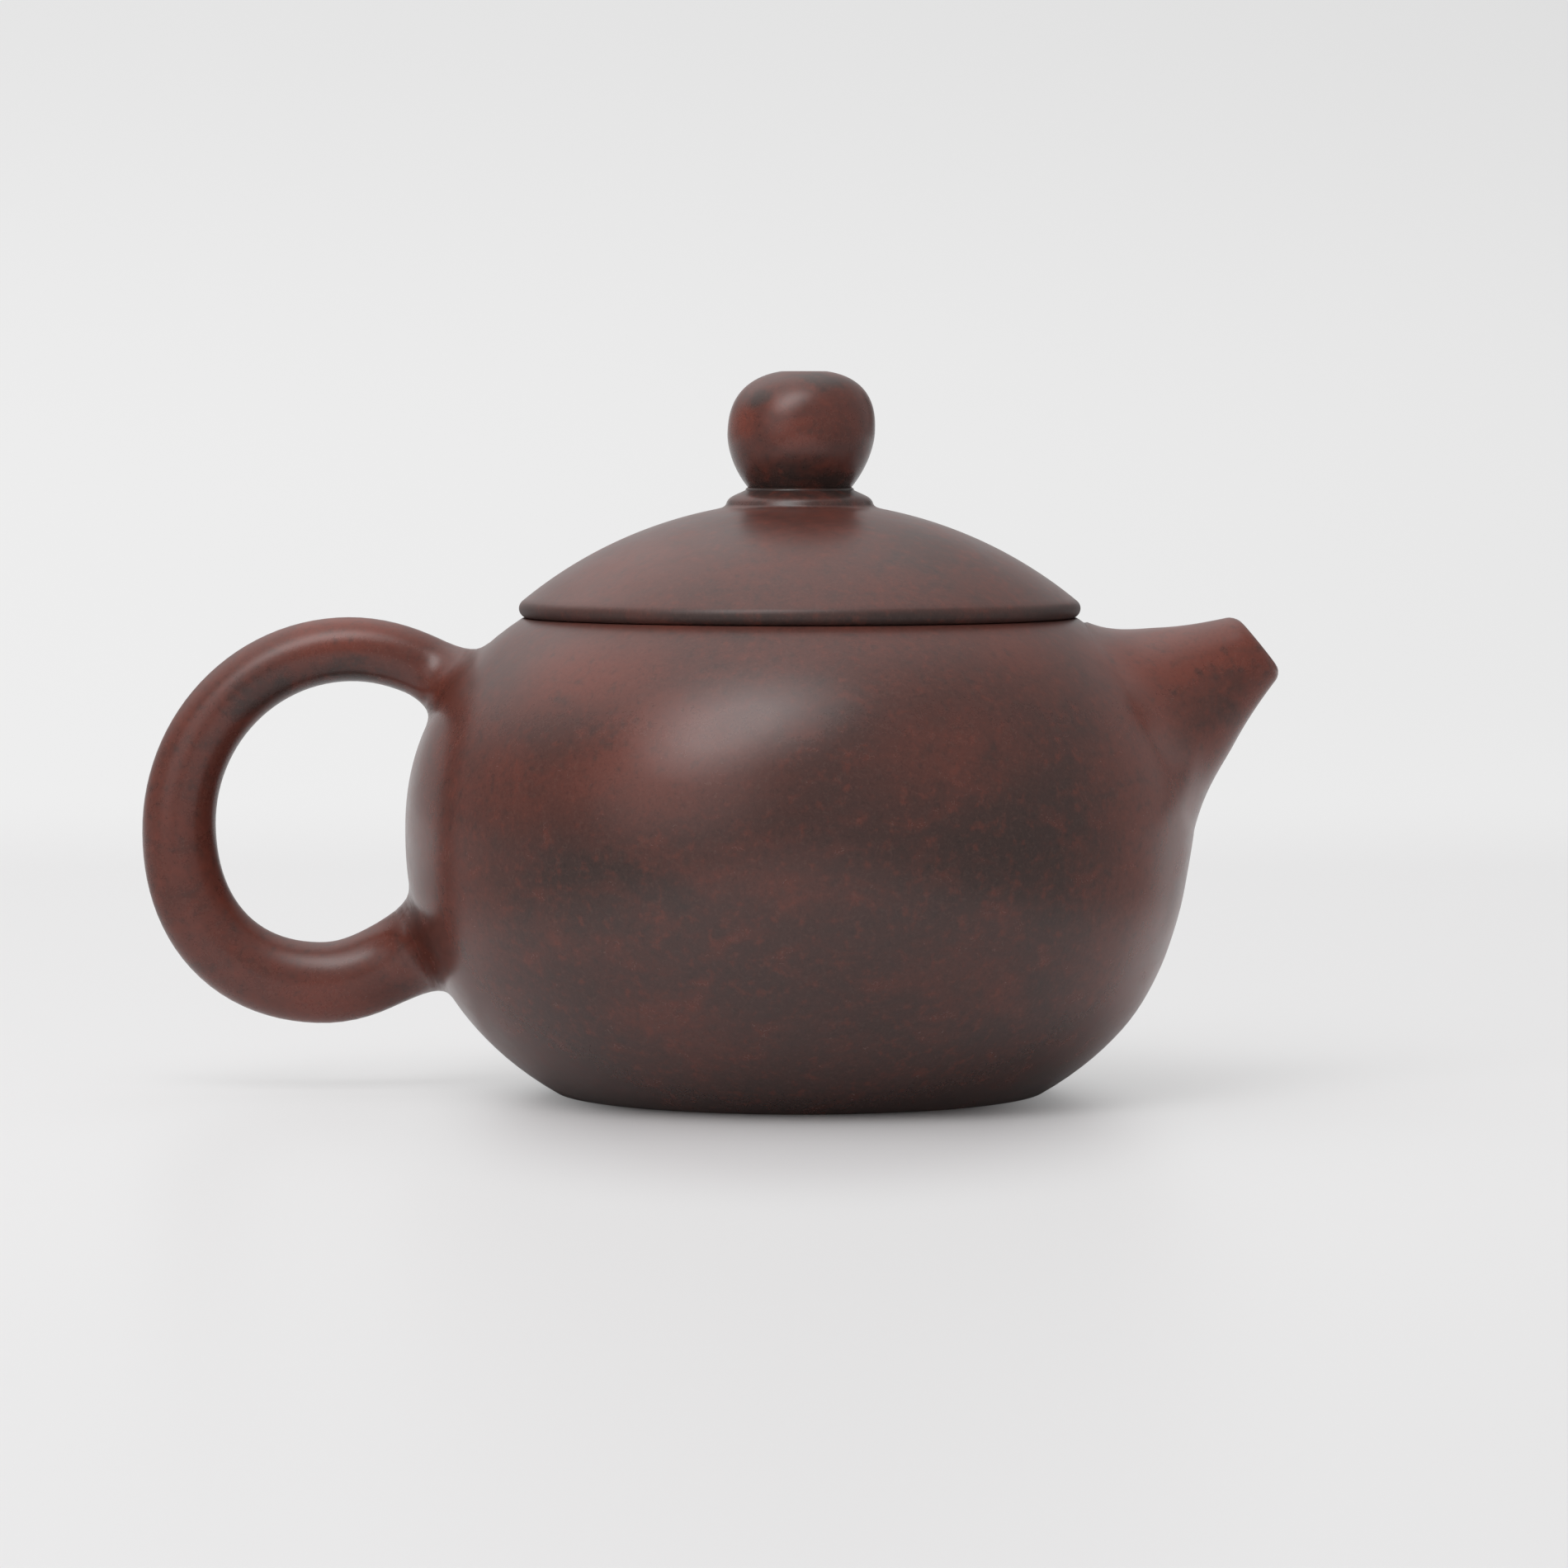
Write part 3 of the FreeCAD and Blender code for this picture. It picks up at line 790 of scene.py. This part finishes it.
nudge(knob, at_knob_top, at(KNOB_LEAN, 0), KNOB_HEIGHT)

# %% [markdown]
# ## Shader maths in plain Python
# A clay finish is a stack of masks: clouds, specks, polish. Each mask is arithmetic on sockets. The
# nodes could be wired by hand in the editor, but a long sum is easier to read as a line of text, so
# a small class wraps a socket and lets Python's own operators add the Math nodes. Every other
# node goes through one method that sets the node's options first and then feeds its inputs.

# %% Wires
ASIDE, BACKWARD, UPWARD = (1, 0, 0), (0, 1, 0), (0, 0, 1)


class Wire:
    """A shader socket that Python's operators work on."""

    def __init__(self, tree, socket):
        self.tree = tree
        self.socket = socket

    def node(self, kind, inputs, output=0, **settings):
        """Adds a node, sets its options, feeds its inputs and gives back one output, if any."""
        made = self.tree.nodes.new(kind)
        for name, value in settings.items():
            setattr(made, name, value)
        for name, value in inputs.items():
            if isinstance(value, Wire):
                self.tree.links.new(value.socket, made.inputs[name])
            else:
                made.inputs[name].default_value = value
        return Wire(self.tree, made.outputs[output]) if made.outputs else None

    def maths(self, operation, first, second):
        return self.node("ShaderNodeMath", {0: first, 1: second}, operation=operation)

    def __add__(self, other):
        return self.maths("ADD", self, other)

    def __sub__(self, other):
        return self.maths("SUBTRACT", self, other)

    def __rsub__(self, other):
        return self.maths("SUBTRACT", other, self)

    def __mul__(self, other):
        return self.maths("MULTIPLY", self, other)

    __radd__ = __add__
    __rmul__ = __mul__

    def most(self, other):
        """The larger of two values."""
        return self.maths("MAXIMUM", self, other)

    def vector(self, operation, other=(0, 0, 0), output=0):
        """Arithmetic on this vector, with another where the operation takes one."""
        return self.node("ShaderNodeVectorMath", {0: self, 1: other}, output, operation=operation)

    def along(self, axis):
        """How far this vector goes along an axis."""
        return self.vector("DOT_PRODUCT", axis, "Value")

    def ramp(self, low, high, start=0.0, end=1.0):
        """Smooth step of a value, from start below the low mark to end above the high one."""
        marks = {"Value": self, "From Min": low, "From Max": high, "To Min": start, "To Max": end}
        return self.node("ShaderNodeMapRange", marks, interpolation_type="SMOOTHSTEP")

    def tint(self, under, over):
        """Colour that goes from one to another by this mask."""
        return self.node("ShaderNodeMix", {0: self, 6: under, 7: over}, output=2, data_type="RGBA")

    def noise(self, grain, detail=2.0, warp=0.0, seed=0.0):
        """Noise whose grain is a length in millimetres, read at this place."""
        shifted = self.vector("ADD", (seed, seed, seed))
        scale = 1 / (grain * MM)
        inputs = {"Vector": shifted, "Scale": scale, "Detail": detail, "Distortion": warp}
        return self.node("ShaderNodeTexNoise", inputs)


def rgb(red, green, blue):
    return (red, green, blue, 1.0)


def fresh_tree(owner):
    """Empty node tree of a material or a world."""
    owner.use_nodes = True
    owner.node_tree.nodes.clear()
    return owner.node_tree


print("wires ready")

# %% [markdown]
# ## Flame and smoke, with painted light and shade
# Purple-brown clay fires unevenly: it is redder where the flame reached it and greyer where smoke
# lay on it, in soft patches as wide as a thumb. Painting them would need a texture map for every
# piece. Here each stain is a spot in space with a reach and a strength, so it runs on over a joint
# without a seam. Noise frays its edge.

# %% Stains
# Places in millimetres of flame and smoke stains and of painted light and shade: middle, reach,
# strength
FLAME_AND_LIGHT_MARKS = (
    ((17, -39, 41), 13, 0.3),
    # Painted light from the upper left: this mark and the next three, on the left of the belly, the
    # lid and the shoulder.
    ((-33, -31, 38), 14, 0.4),
    ((-20, -16, 59), 14, 0.6),
    ((-23, -28, 48), 14, 0.7),
    ((-17, -38, 41), 17, 0.6),
    ((22, -24, 51), 10, 0.5),
    ((43, -9, 33), 10, 0.9),
    ((47, -5, 53), 7, 0.9),
    ((38, -12, 49), 11, 0.9),
    # Partly flush, partly painted light along the top of the handle:
    ((-52, -3, 54), 14, 1.0),
    ((-54, -4, 9), 11, 0.9),
    ((-7, -4, 76), 5, 1.0),
    ((5, -7, 76), 6, 0.7),
    ((-2, -7, 78), 4, 0.7),
    ((0, -8, 75), 5, 0.9),
)
SMOKE_AND_SHADE_MARKS = (
    ((25, -38, 31), 15, 0.55),
    ((-22, -39, 25), 10, 0.65),
    ((-27, -35, 43), 9, 0.45),
    ((-40, -12, 19), 8, 0.5),
    ((45, -8, 44), 7, 0.45),
    ((49, -6, 47), 4, 0.5),
    # Painted shade on the handle's inner side, under its upper arm: this mark and the next.
    ((-60, -3, 45), 6, 0.8),
    ((-51, -3, 46), 7, 0.9),
    ((-5, -6, 79), 2, 0.8),
    ((2, -5, 81), 3, 0.7),
    # Painted shade on the knob's foot, under its belly: this mark and the next two.
    ((-4, -5, 69), 4, 0.9),
    ((4, -5, 69), 4, 0.9),
    ((0, -6, 70), 5, 1.0),
    ((14, -15, 62), 9, 0.4),
    ((-8, -13, 64), 6, 0.2),
)
STAIN_FLATNESS = (1, 1, 1.7)  # stains lie wider than high
STAIN_CORE, STAIN_END = 0.2, 1.3  # shares of the reach: stained in full, and gone


def stains(place, ragged, spots):
    """Mask of soft flat spots with a ragged edge."""
    total = None
    for middle, reach, strength in spots:
        centre = Vector([length * flat * MM for length, flat in zip(middle, STAIN_FLATNESS)])
        away = place.vector("DISTANCE", centre, "Value") + ragged * (reach * MM)
        spot = away.ramp(STAIN_CORE * reach * MM, STAIN_END * reach * MM, strength, 0.0)
        total = spot if total is None else total.most(spot)
    return total


print("stains:", len(FLAME_AND_LIGHT_MARKS) + len(SMOKE_AND_SHADE_MARKS))

# %% [markdown]
# ## The clay
# Over the stains lie three sizes of mottling, from clouds through flecks to fine grains, each one
# redder on one side of its noise and darker on the other. Faces that look up and the two flanks
# are painted redder as painted light, and the trimmed edge of the lid is duller, with painted
# shade along it. Years of hands have given the clay a soft sheen and have rubbed its limbs and
# knob redder. An image could hold all that, but noise in object space keeps the clay's real scale
# on every piece.

# %% Clay
GROUND = rgb(0.061, 0.0272, 0.0228)
FLUSH_AND_LIT_RED = rgb(0.180, 0.042, 0.026)
SMOKE_AND_SHADE_GREY = rgb(0.038, 0.024, 0.021)
SAND = rgb(0.170, 0.095, 0.075)
SOOT = rgb(0.020, 0.012, 0.011)
NOISE_MIDDLE = 0.5
# Mottling: which noise, between which of its values, the shares at both, colour
MOTTLING = (
    ("cloud", (0.50, 0.80), (0.0, 0.36), FLUSH_AND_LIT_RED),
    ("cloud", (0.20, 0.50), (0.38, 0.0), SMOKE_AND_SHADE_GREY),
    ("fleck", (0.52, 0.75), (0.0, 0.34), FLUSH_AND_LIT_RED),
    ("fleck", (0.25, 0.48), (0.40, 0.0), SMOKE_AND_SHADE_GREY),
    ("grain", (0.50, 0.80), (0.0, 0.15), SAND),
    ("grain", (0.20, 0.50), (0.32, 0.0), SOOT),
)
CLOUD, FLECK, GRAIN = 5.0, 1.2, 0.45  # width of the mottling
CLOUD_FRAY, FLECK_FRAY = 1.4, 0.8  # how far its noise shifts a stain's edge
WIDE_FLAME, WIDE_SMOKE = 26, 22  # width of the stains that have no set place
FLAME_VALUES, SMOKE_VALUES = (0.48, 0.80), (0.50, 0.78)  # of the noise in which they show
FLAME_SHARE, SMOKE_SHARE = 0.40, 0.35
# Painted light: faces that look up are painted redder, as if lit from above.
TOP_PAINTED_LIGHT = 0.32  # on faces that look up
TOP_FACES, DULL_FACES = (0.2, 0.9), (0.3, 0.9)  # how far up they look
# Painted light: the flanks, and the spout and handle beyond them, are painted redder, as if lit
# from the sides.
RIGHT_PAINTED_LIGHT, LEFT_PAINTED_LIGHT = 0.78, 0.52  # on the flanks
FLANK = (26 * MM, 42 * MM)  # from the axis
EDGE_START = (-0.2 * MM, 0.3 * MM)  # of the lid's edge, above the rim
EDGE_STOP = (0.9 * MM, 2.4 * MM)
# Painted shade: the lid's edge just above the rim is darkened with the smoke colour, and it is also
# rougher.
EDGE_PAINTED_SHADE, EDGE_ROUGHNESS = 0.65, 0.30
RUBBED_LIMBS = (46 * MM, 58 * MM)  # from the axis outwards
RUBBED_KNOB = (68 * MM, 71 * MM)  # from this height up
RUBBED_FLAME, RUBBED_ROUGHNESS = 0.40, 0.03
ROUGHNESS = 0.17
CLOUD_ROUGHNESS, GRAIN_ROUGHNESS, TOP_ROUGHNESS = 0.10, 0.06, 0.10
FLECK_BUMP = 1.5  # against 1 for the grain
BUMP = {"Strength": 0.25, "Distance": 0.02 * MM}


def clay(name, burnished):
    """Clay mottled red and grey with painted light and shade, fine grains, satin sheen, rubbed
    redder ends.
    """
    material = bpy.data.materials.new(name)
    tree = fresh_tree(material)
    outputs = tree.nodes.new("ShaderNodeTexCoord").outputs
    place = Wire(tree, outputs["Object"])
    upward = Wire(tree, outputs["Normal"]).along(UPWARD)
    across, height = place.along(ASIDE), place.along(UPWARD)
    squat = place.vector("MULTIPLY", STAIN_FLATNESS)

    noises = {
        "cloud": squat.noise(CLOUD, detail=4, warp=0.5, seed=2.3),
        "fleck": place.noise(FLECK, detail=3, seed=5.2),
        "grain": place.noise(GRAIN, detail=2, warp=1.0, seed=0.4),
    }
    cloud, fleck, grain = noises.values()
    ragged = CLOUD_FRAY * (cloud - NOISE_MIDDLE) + FLECK_FRAY * (fleck - NOISE_MIDDLE)
    flame_and_light = squat.noise(WIDE_FLAME, detail=4, warp=0.6, seed=1.7).ramp(*FLAME_VALUES) * FLAME_SHARE
    flame_and_light = flame_and_light.most(stains(squat, ragged, FLAME_AND_LIGHT_MARKS))
    # painted light on faces that look up and on the flanks
    flame_and_light = flame_and_light.most(upward.ramp(*TOP_FACES) * TOP_PAINTED_LIGHT)
    flame_and_light = flame_and_light.most(across.ramp(*FLANK, 0.0, RIGHT_PAINTED_LIGHT))
    flame_and_light = flame_and_light.most((0 - across).ramp(*FLANK, 0.0, LEFT_PAINTED_LIGHT))
    smoke_and_shade = squat.noise(WIDE_SMOKE, detail=4, warp=0.8, seed=4.2).ramp(*SMOKE_VALUES) * SMOKE_SHARE
    smoke_and_shade = smoke_and_shade.most(stains(squat, ragged, SMOKE_AND_SHADE_MARKS))
    # painted shade on the lid's edge
    above_rim = height - rim_height * MM
    lid_edge = above_rim.ramp(*EDGE_START) * above_rim.ramp(*EDGE_STOP, 1.0, 0.0)
    smoke_and_shade = smoke_and_shade.most(lid_edge * EDGE_PAINTED_SHADE)
    roughness = ROUGHNESS + CLOUD_ROUGHNESS * cloud + GRAIN_ROUGHNESS * grain
    roughness = roughness + TOP_ROUGHNESS * upward.ramp(*DULL_FACES) + EDGE_ROUGHNESS * lid_edge
    if burnished:
        from_axis = place.vector("MULTIPLY", (1, 1, 0)).vector("LENGTH", output="Value")
        rubbed = from_axis.ramp(*RUBBED_LIMBS).most(height.ramp(*RUBBED_KNOB))
        flame_and_light = flame_and_light.most(RUBBED_FLAME * rubbed)
        roughness = roughness + RUBBED_ROUGHNESS * rubbed

    colour = smoke_and_shade.tint(flame_and_light.tint(GROUND, FLUSH_AND_LIT_RED), SMOKE_AND_SHADE_GREY)
    for noise, values, shares, over in MOTTLING:
        colour = noises[noise].ramp(*values, *shares).tint(colour, over)
    bump = place.node("ShaderNodeBump", {"Height": grain + FLECK_BUMP * fleck, **BUMP})
    inputs = {"Base Color": colour, "Roughness": roughness, "Normal": bump}
    shader = place.node("ShaderNodeBsdfPrincipled", inputs)
    place.node("ShaderNodeOutputMaterial", {"Surface": shader})
    print(name, "nodes:", len(tree.nodes))
    return material


body_clay = clay("body clay", burnished=False)
burnished_clay = clay("burnished clay", burnished=True)

# %% [markdown]
# ## Dressing the pieces
# Every mesh now takes its clay, rides on the pot or on the lid, and stands for the plain solid that
# it replaces. The pieces could be parented by hand. Riding is by the body's name instead, so that
# the lid's four pieces lift together. Limbs, collar and knob get the burnished clay.

# %% Dressing
DRESS = (
    (wall, body_clay, "pot", "body_wall"),
    (base, body_clay, "pot", "base_disc"),
    (mouth_ring, body_clay, "pot", "mouth_ring"),
    (spout, burnished_clay, "pot", "spout"),
    (strainer, body_clay, "pot", "spout_strainer"),
    (handle, burnished_clay, "pot", "handle"),
    (lid, body_clay, "lid", "lid_dome"),
    (flange, body_clay, "lid", "lid_flange"),
    (collar, burnished_clay, "lid", "knob_collar"),
    (knob, burnished_clay, "lid", "knob"),
)

for piece, finish, body, node in DRESS:
    piece.data.materials.clear()
    piece.data.materials.append(finish)
    piece.vertex_groups.clear()
    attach(piece, body)
    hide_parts(node)
print("dressed:", len(DRESS))

# %% [markdown]
# ## Table and backdrop
# The pot stands on a pale sheet that sweeps up behind it, so no horizon shows. A bent curve with a
# width would make one. Here the sheet is a plane whose far edge is extruded upwards, with the fold
# between them bevelled into a wide curve, which takes three operators. Its sizes are in metres.

# %% Sweep
SWEEP_HALF = 1.6
SWEEP_BACK = 1.6
SWEEP_TOP = 0.8
SWEEP_BEND = 0.6
BEND_SEGMENTS = 24
NEAR = 1.0  # millimetres within which a vertex lies on an edge


def at_far_edge(x, y, z):
    return y > SWEEP_BACK / MM - NEAR


def at_fold(x, y, z):
    return at_far_edge(x, y, z) and z < NEAR


bpy.ops.object.select_all(action="DESELECT")
bpy.ops.mesh.primitive_plane_add(size=2 * SWEEP_HALF, location=(0, SWEEP_BACK - SWEEP_HALF, 0))
bpy.ops.object.transform_apply(location=True, rotation=True, scale=True)
sweep = begin("sweep")
pick(sweep, at_far_edge)
bpy.ops.mesh.extrude_region_move(TRANSFORM_OT_translate={"value": (0, 0, SWEEP_TOP)})
pick(sweep, at_fold)
bpy.ops.mesh.bevel(offset=SWEEP_BEND, offset_type="OFFSET", segments=BEND_SEGMENTS, affect="EDGES")
bpy.ops.object.mode_set(mode="OBJECT")
bpy.ops.object.shade_smooth()
print("sweep faces:", len(sweep.data.polygons))

# %% [markdown]
# ## Light in the sheet
# In such a picture the sheet is lit apart from the pot, until it is nearly white. Lamps aimed at it
# would spill onto the clay. Here the sheet shines by itself, but only for the camera and for what
# the clay mirrors. Round the pot's foot it is left plain, so that the shadow shows. To the sides,
# where only the clay's reflections see it, it is dimmer, which keeps the flanks of the pot dark.

# %% Pale sheet
FLOOR_COLOUR = rgb(0.78, 0.77, 0.775)
BACK_COLOUR = rgb(0.87, 0.86, 0.865)
SHEET_ROUGHNESS = 0.38
COLOUR_CHANGE = (0.05, 0.60)  # behind the pot
GLOW_LEFT, GLOW_RIGHT = 0.88, 0.56
GLOW_CHANGE = (-0.4, 2.0)  # from left to right
GLOW_TOP = 0.92  # share of the glow left higher up the backdrop
TOP_CHANGE = (0.05, 0.25)
BACK_GLOW = 0.90  # share of the glow far behind the pot
BACK_CHANGE = (0.10, 0.60)
FLOOR_GLOW = 0.52  # and on the floor, outside the shadow
SHADOW_SHIFT, SHADOW_SQUEEZE = (0, 0.04, 0), (1, 0.55, 0)  # place and form of the shadow
SHADOW_CHANGE = (0.018, 0.046)
FAR_SIDE = (0.15, 1.00)  # to the left and right, for reflections
NEAR_SIDE = (0.03, 0.15)
NEAR_SIDE_BACK = (0.05, 0.35)  # where the near sides end, behind the pot
LEFT_DIM, RIGHT_DIM, FLOOR_DIM = 0.55, 0.30, 0.52  # share of the glow left there
DIM_CHANGE = (-0.4, 0.4)  # from left to right
FLOOR_TOP = (0.0, 0.05)
FRONT_DIM = 0.90  # share of the glow in front of the pot
FRONT_CHANGE = (-0.30, 0.0)

paper = bpy.data.materials.new("pale sheet")
paper_tree = fresh_tree(paper)
spot = Wire(paper_tree, paper_tree.nodes.new("ShaderNodeTexCoord").outputs["Object"])
aside, back, lift = spot.along(ASIDE), spot.along(BACKWARD), spot.along(UPWARD)
sheet_colour = back.ramp(*COLOUR_CHANGE).tint(FLOOR_COLOUR, BACK_COLOUR)
inputs = {"Base Color": sheet_colour, "Roughness": SHEET_ROUGHNESS}
sheet_shader = spot.node("ShaderNodeBsdfPrincipled", inputs)
camera_ray = spot.node("ShaderNodeLightPath", {}, "Is Camera Ray")
glossy_ray = spot.node("ShaderNodeLightPath", {}, "Is Glossy Ray")

off_axis = spot.maths("ABSOLUTE", aside, 0)
near_side = off_axis.ramp(*NEAR_SIDE) * back.ramp(*NEAR_SIDE_BACK, 1.0, 0.0)
mirrored_side = off_axis.ramp(*FAR_SIDE).most(near_side) * glossy_ray
from_pot = spot.vector("ADD", SHADOW_SHIFT).vector("MULTIPLY", SHADOW_SQUEEZE)
apart = from_pot.vector("LENGTH", output="Value")
glow_share = back.ramp(*BACK_CHANGE, 0.0, BACK_GLOW) * camera_ray.most(glossy_ray)
glow_share = glow_share.most(apart.ramp(*SHADOW_CHANGE, 0.0, FLOOR_GLOW) * camera_ray)
glow_share = glow_share.most(mirrored_side)

side_dim = aside.ramp(*DIM_CHANGE, LEFT_DIM, RIGHT_DIM)
dim = lift.ramp(*FLOOR_TOP, FLOOR_DIM, side_dim)
glow = aside.ramp(*GLOW_CHANGE, GLOW_LEFT, GLOW_RIGHT)
glow = glow * lift.ramp(*TOP_CHANGE, 1.0, GLOW_TOP)
glow = glow * mirrored_side.ramp(0, 1, 1.0, dim)
glow = glow * back.ramp(*FRONT_CHANGE, FRONT_DIM, 1.0)
sheet_glow = spot.node("ShaderNodeEmission", {"Strength": glow})
sheet_mix = spot.node("ShaderNodeMixShader", {0: glow_share, 1: sheet_shader, 2: sheet_glow})
spot.node("ShaderNodeOutputMaterial", {"Surface": sheet_mix})
sweep.data.materials.append(paper)
print("pale sheet nodes:", len(paper_tree.nodes))

# %% [markdown]
# ## The key light
# A soft lamp stands high in front and to the left: its reflection is the broad highlight on the
# shoulder. One lamp would do, but its oval would show a hard edge in the polished clay. A larger
# and weaker oval close behind it lets the highlight fade, as the rim of a real soft box does.

# %% Key light
KEY = Vector((-0.23, -0.44, 0.74))
KEY_ROLL = -28.0
CORE = {"wide": 0.32, "high": 0.60, "power": 1.3}
HALO = {"wide": 0.66, "high": 1.05, "power": 2.7}
HALO_DISTANCE = 1.05  # against 1 for the core


def soft_lamp(name, place, wide, high, power):
    """A soft oval lamp that faces the pot's belly, rolled about its own axis."""
    data = bpy.data.lights.new(name, "AREA")
    data.shape = "ELLIPSE"
    data.size = wide
    data.size_y = high
    data.energy = power
    lamp = bpy.data.objects.new(name, data)
    scene.collection.objects.link(lamp)
    lamp.location = place
    facing = (at(0, BELLY_HEIGHT) - lamp.location).to_track_quat("-Z", "Y")
    lamp.rotation_euler = (facing @ Quaternion((0, 0, 1), math.radians(KEY_ROLL))).to_euler()
    print(name, "lamp at", place)


soft_lamp("key", KEY, **CORE)
soft_lamp("key halo", KEY * HALO_DISTANCE, **HALO)

# %% [markdown]
# ## The room
# The rest is soft light from all sides, as in a white room, a little stronger from behind. It also
# gives the pale rims where the clay is seen at a glancing angle. More lamps could stand for it, but
# each would leave its own highlight. The world does it with one strength that changes with the
# direction, and adds a skylight overhead and a window on the left.

# %% Room
ROOM_LEFT, ROOM_RIGHT, ROOM_BACK = 0.28, 0.42, 0.50
SIDE_CHANGE = (-0.6, 0.4)  # from left to right
DEPTH_CHANGE = (0.3, 0.9)  # towards the back
SKYLIGHT = 0.93
SKYLIGHT_WAY = Vector((-0.30, 0.30, 0.87)).normalized()
SKYLIGHT_SPREAD = (0.6, 1.0)
WINDOW = 0.7
WINDOW_WAY = Vector((-0.58, -0.75, 0.34)).normalized()
WINDOW_SPREAD = (0.85, 0.99)
ROOM_SEEN = 0.83  # for the camera

room = bpy.data.worlds.new("room")
room_tree = fresh_tree(room)
way = Wire(room_tree, room_tree.nodes.new("ShaderNodeTexCoord").outputs["Generated"])
sides = way.along(ASIDE).ramp(*SIDE_CHANGE, ROOM_LEFT, ROOM_RIGHT)
strength = way.along(BACKWARD).ramp(*DEPTH_CHANGE, sides, ROOM_BACK)
strength = strength + way.along(SKYLIGHT_WAY).ramp(*SKYLIGHT_SPREAD) * SKYLIGHT
strength = strength + way.along(WINDOW_WAY).ramp(*WINDOW_SPREAD) * WINDOW
camera_view = way.node("ShaderNodeLightPath", {}, "Is Camera Ray")
strength = camera_view.ramp(0, 1, strength, ROOM_SEEN)
room_light = way.node("ShaderNodeBackground", {"Color": rgb(1, 1, 1), "Strength": strength})
way.node("ShaderNodeOutputWorld", {"Surface": room_light})
scene.world = room
print("room strength:", ROOM_LEFT, "to", ROOM_BACK)
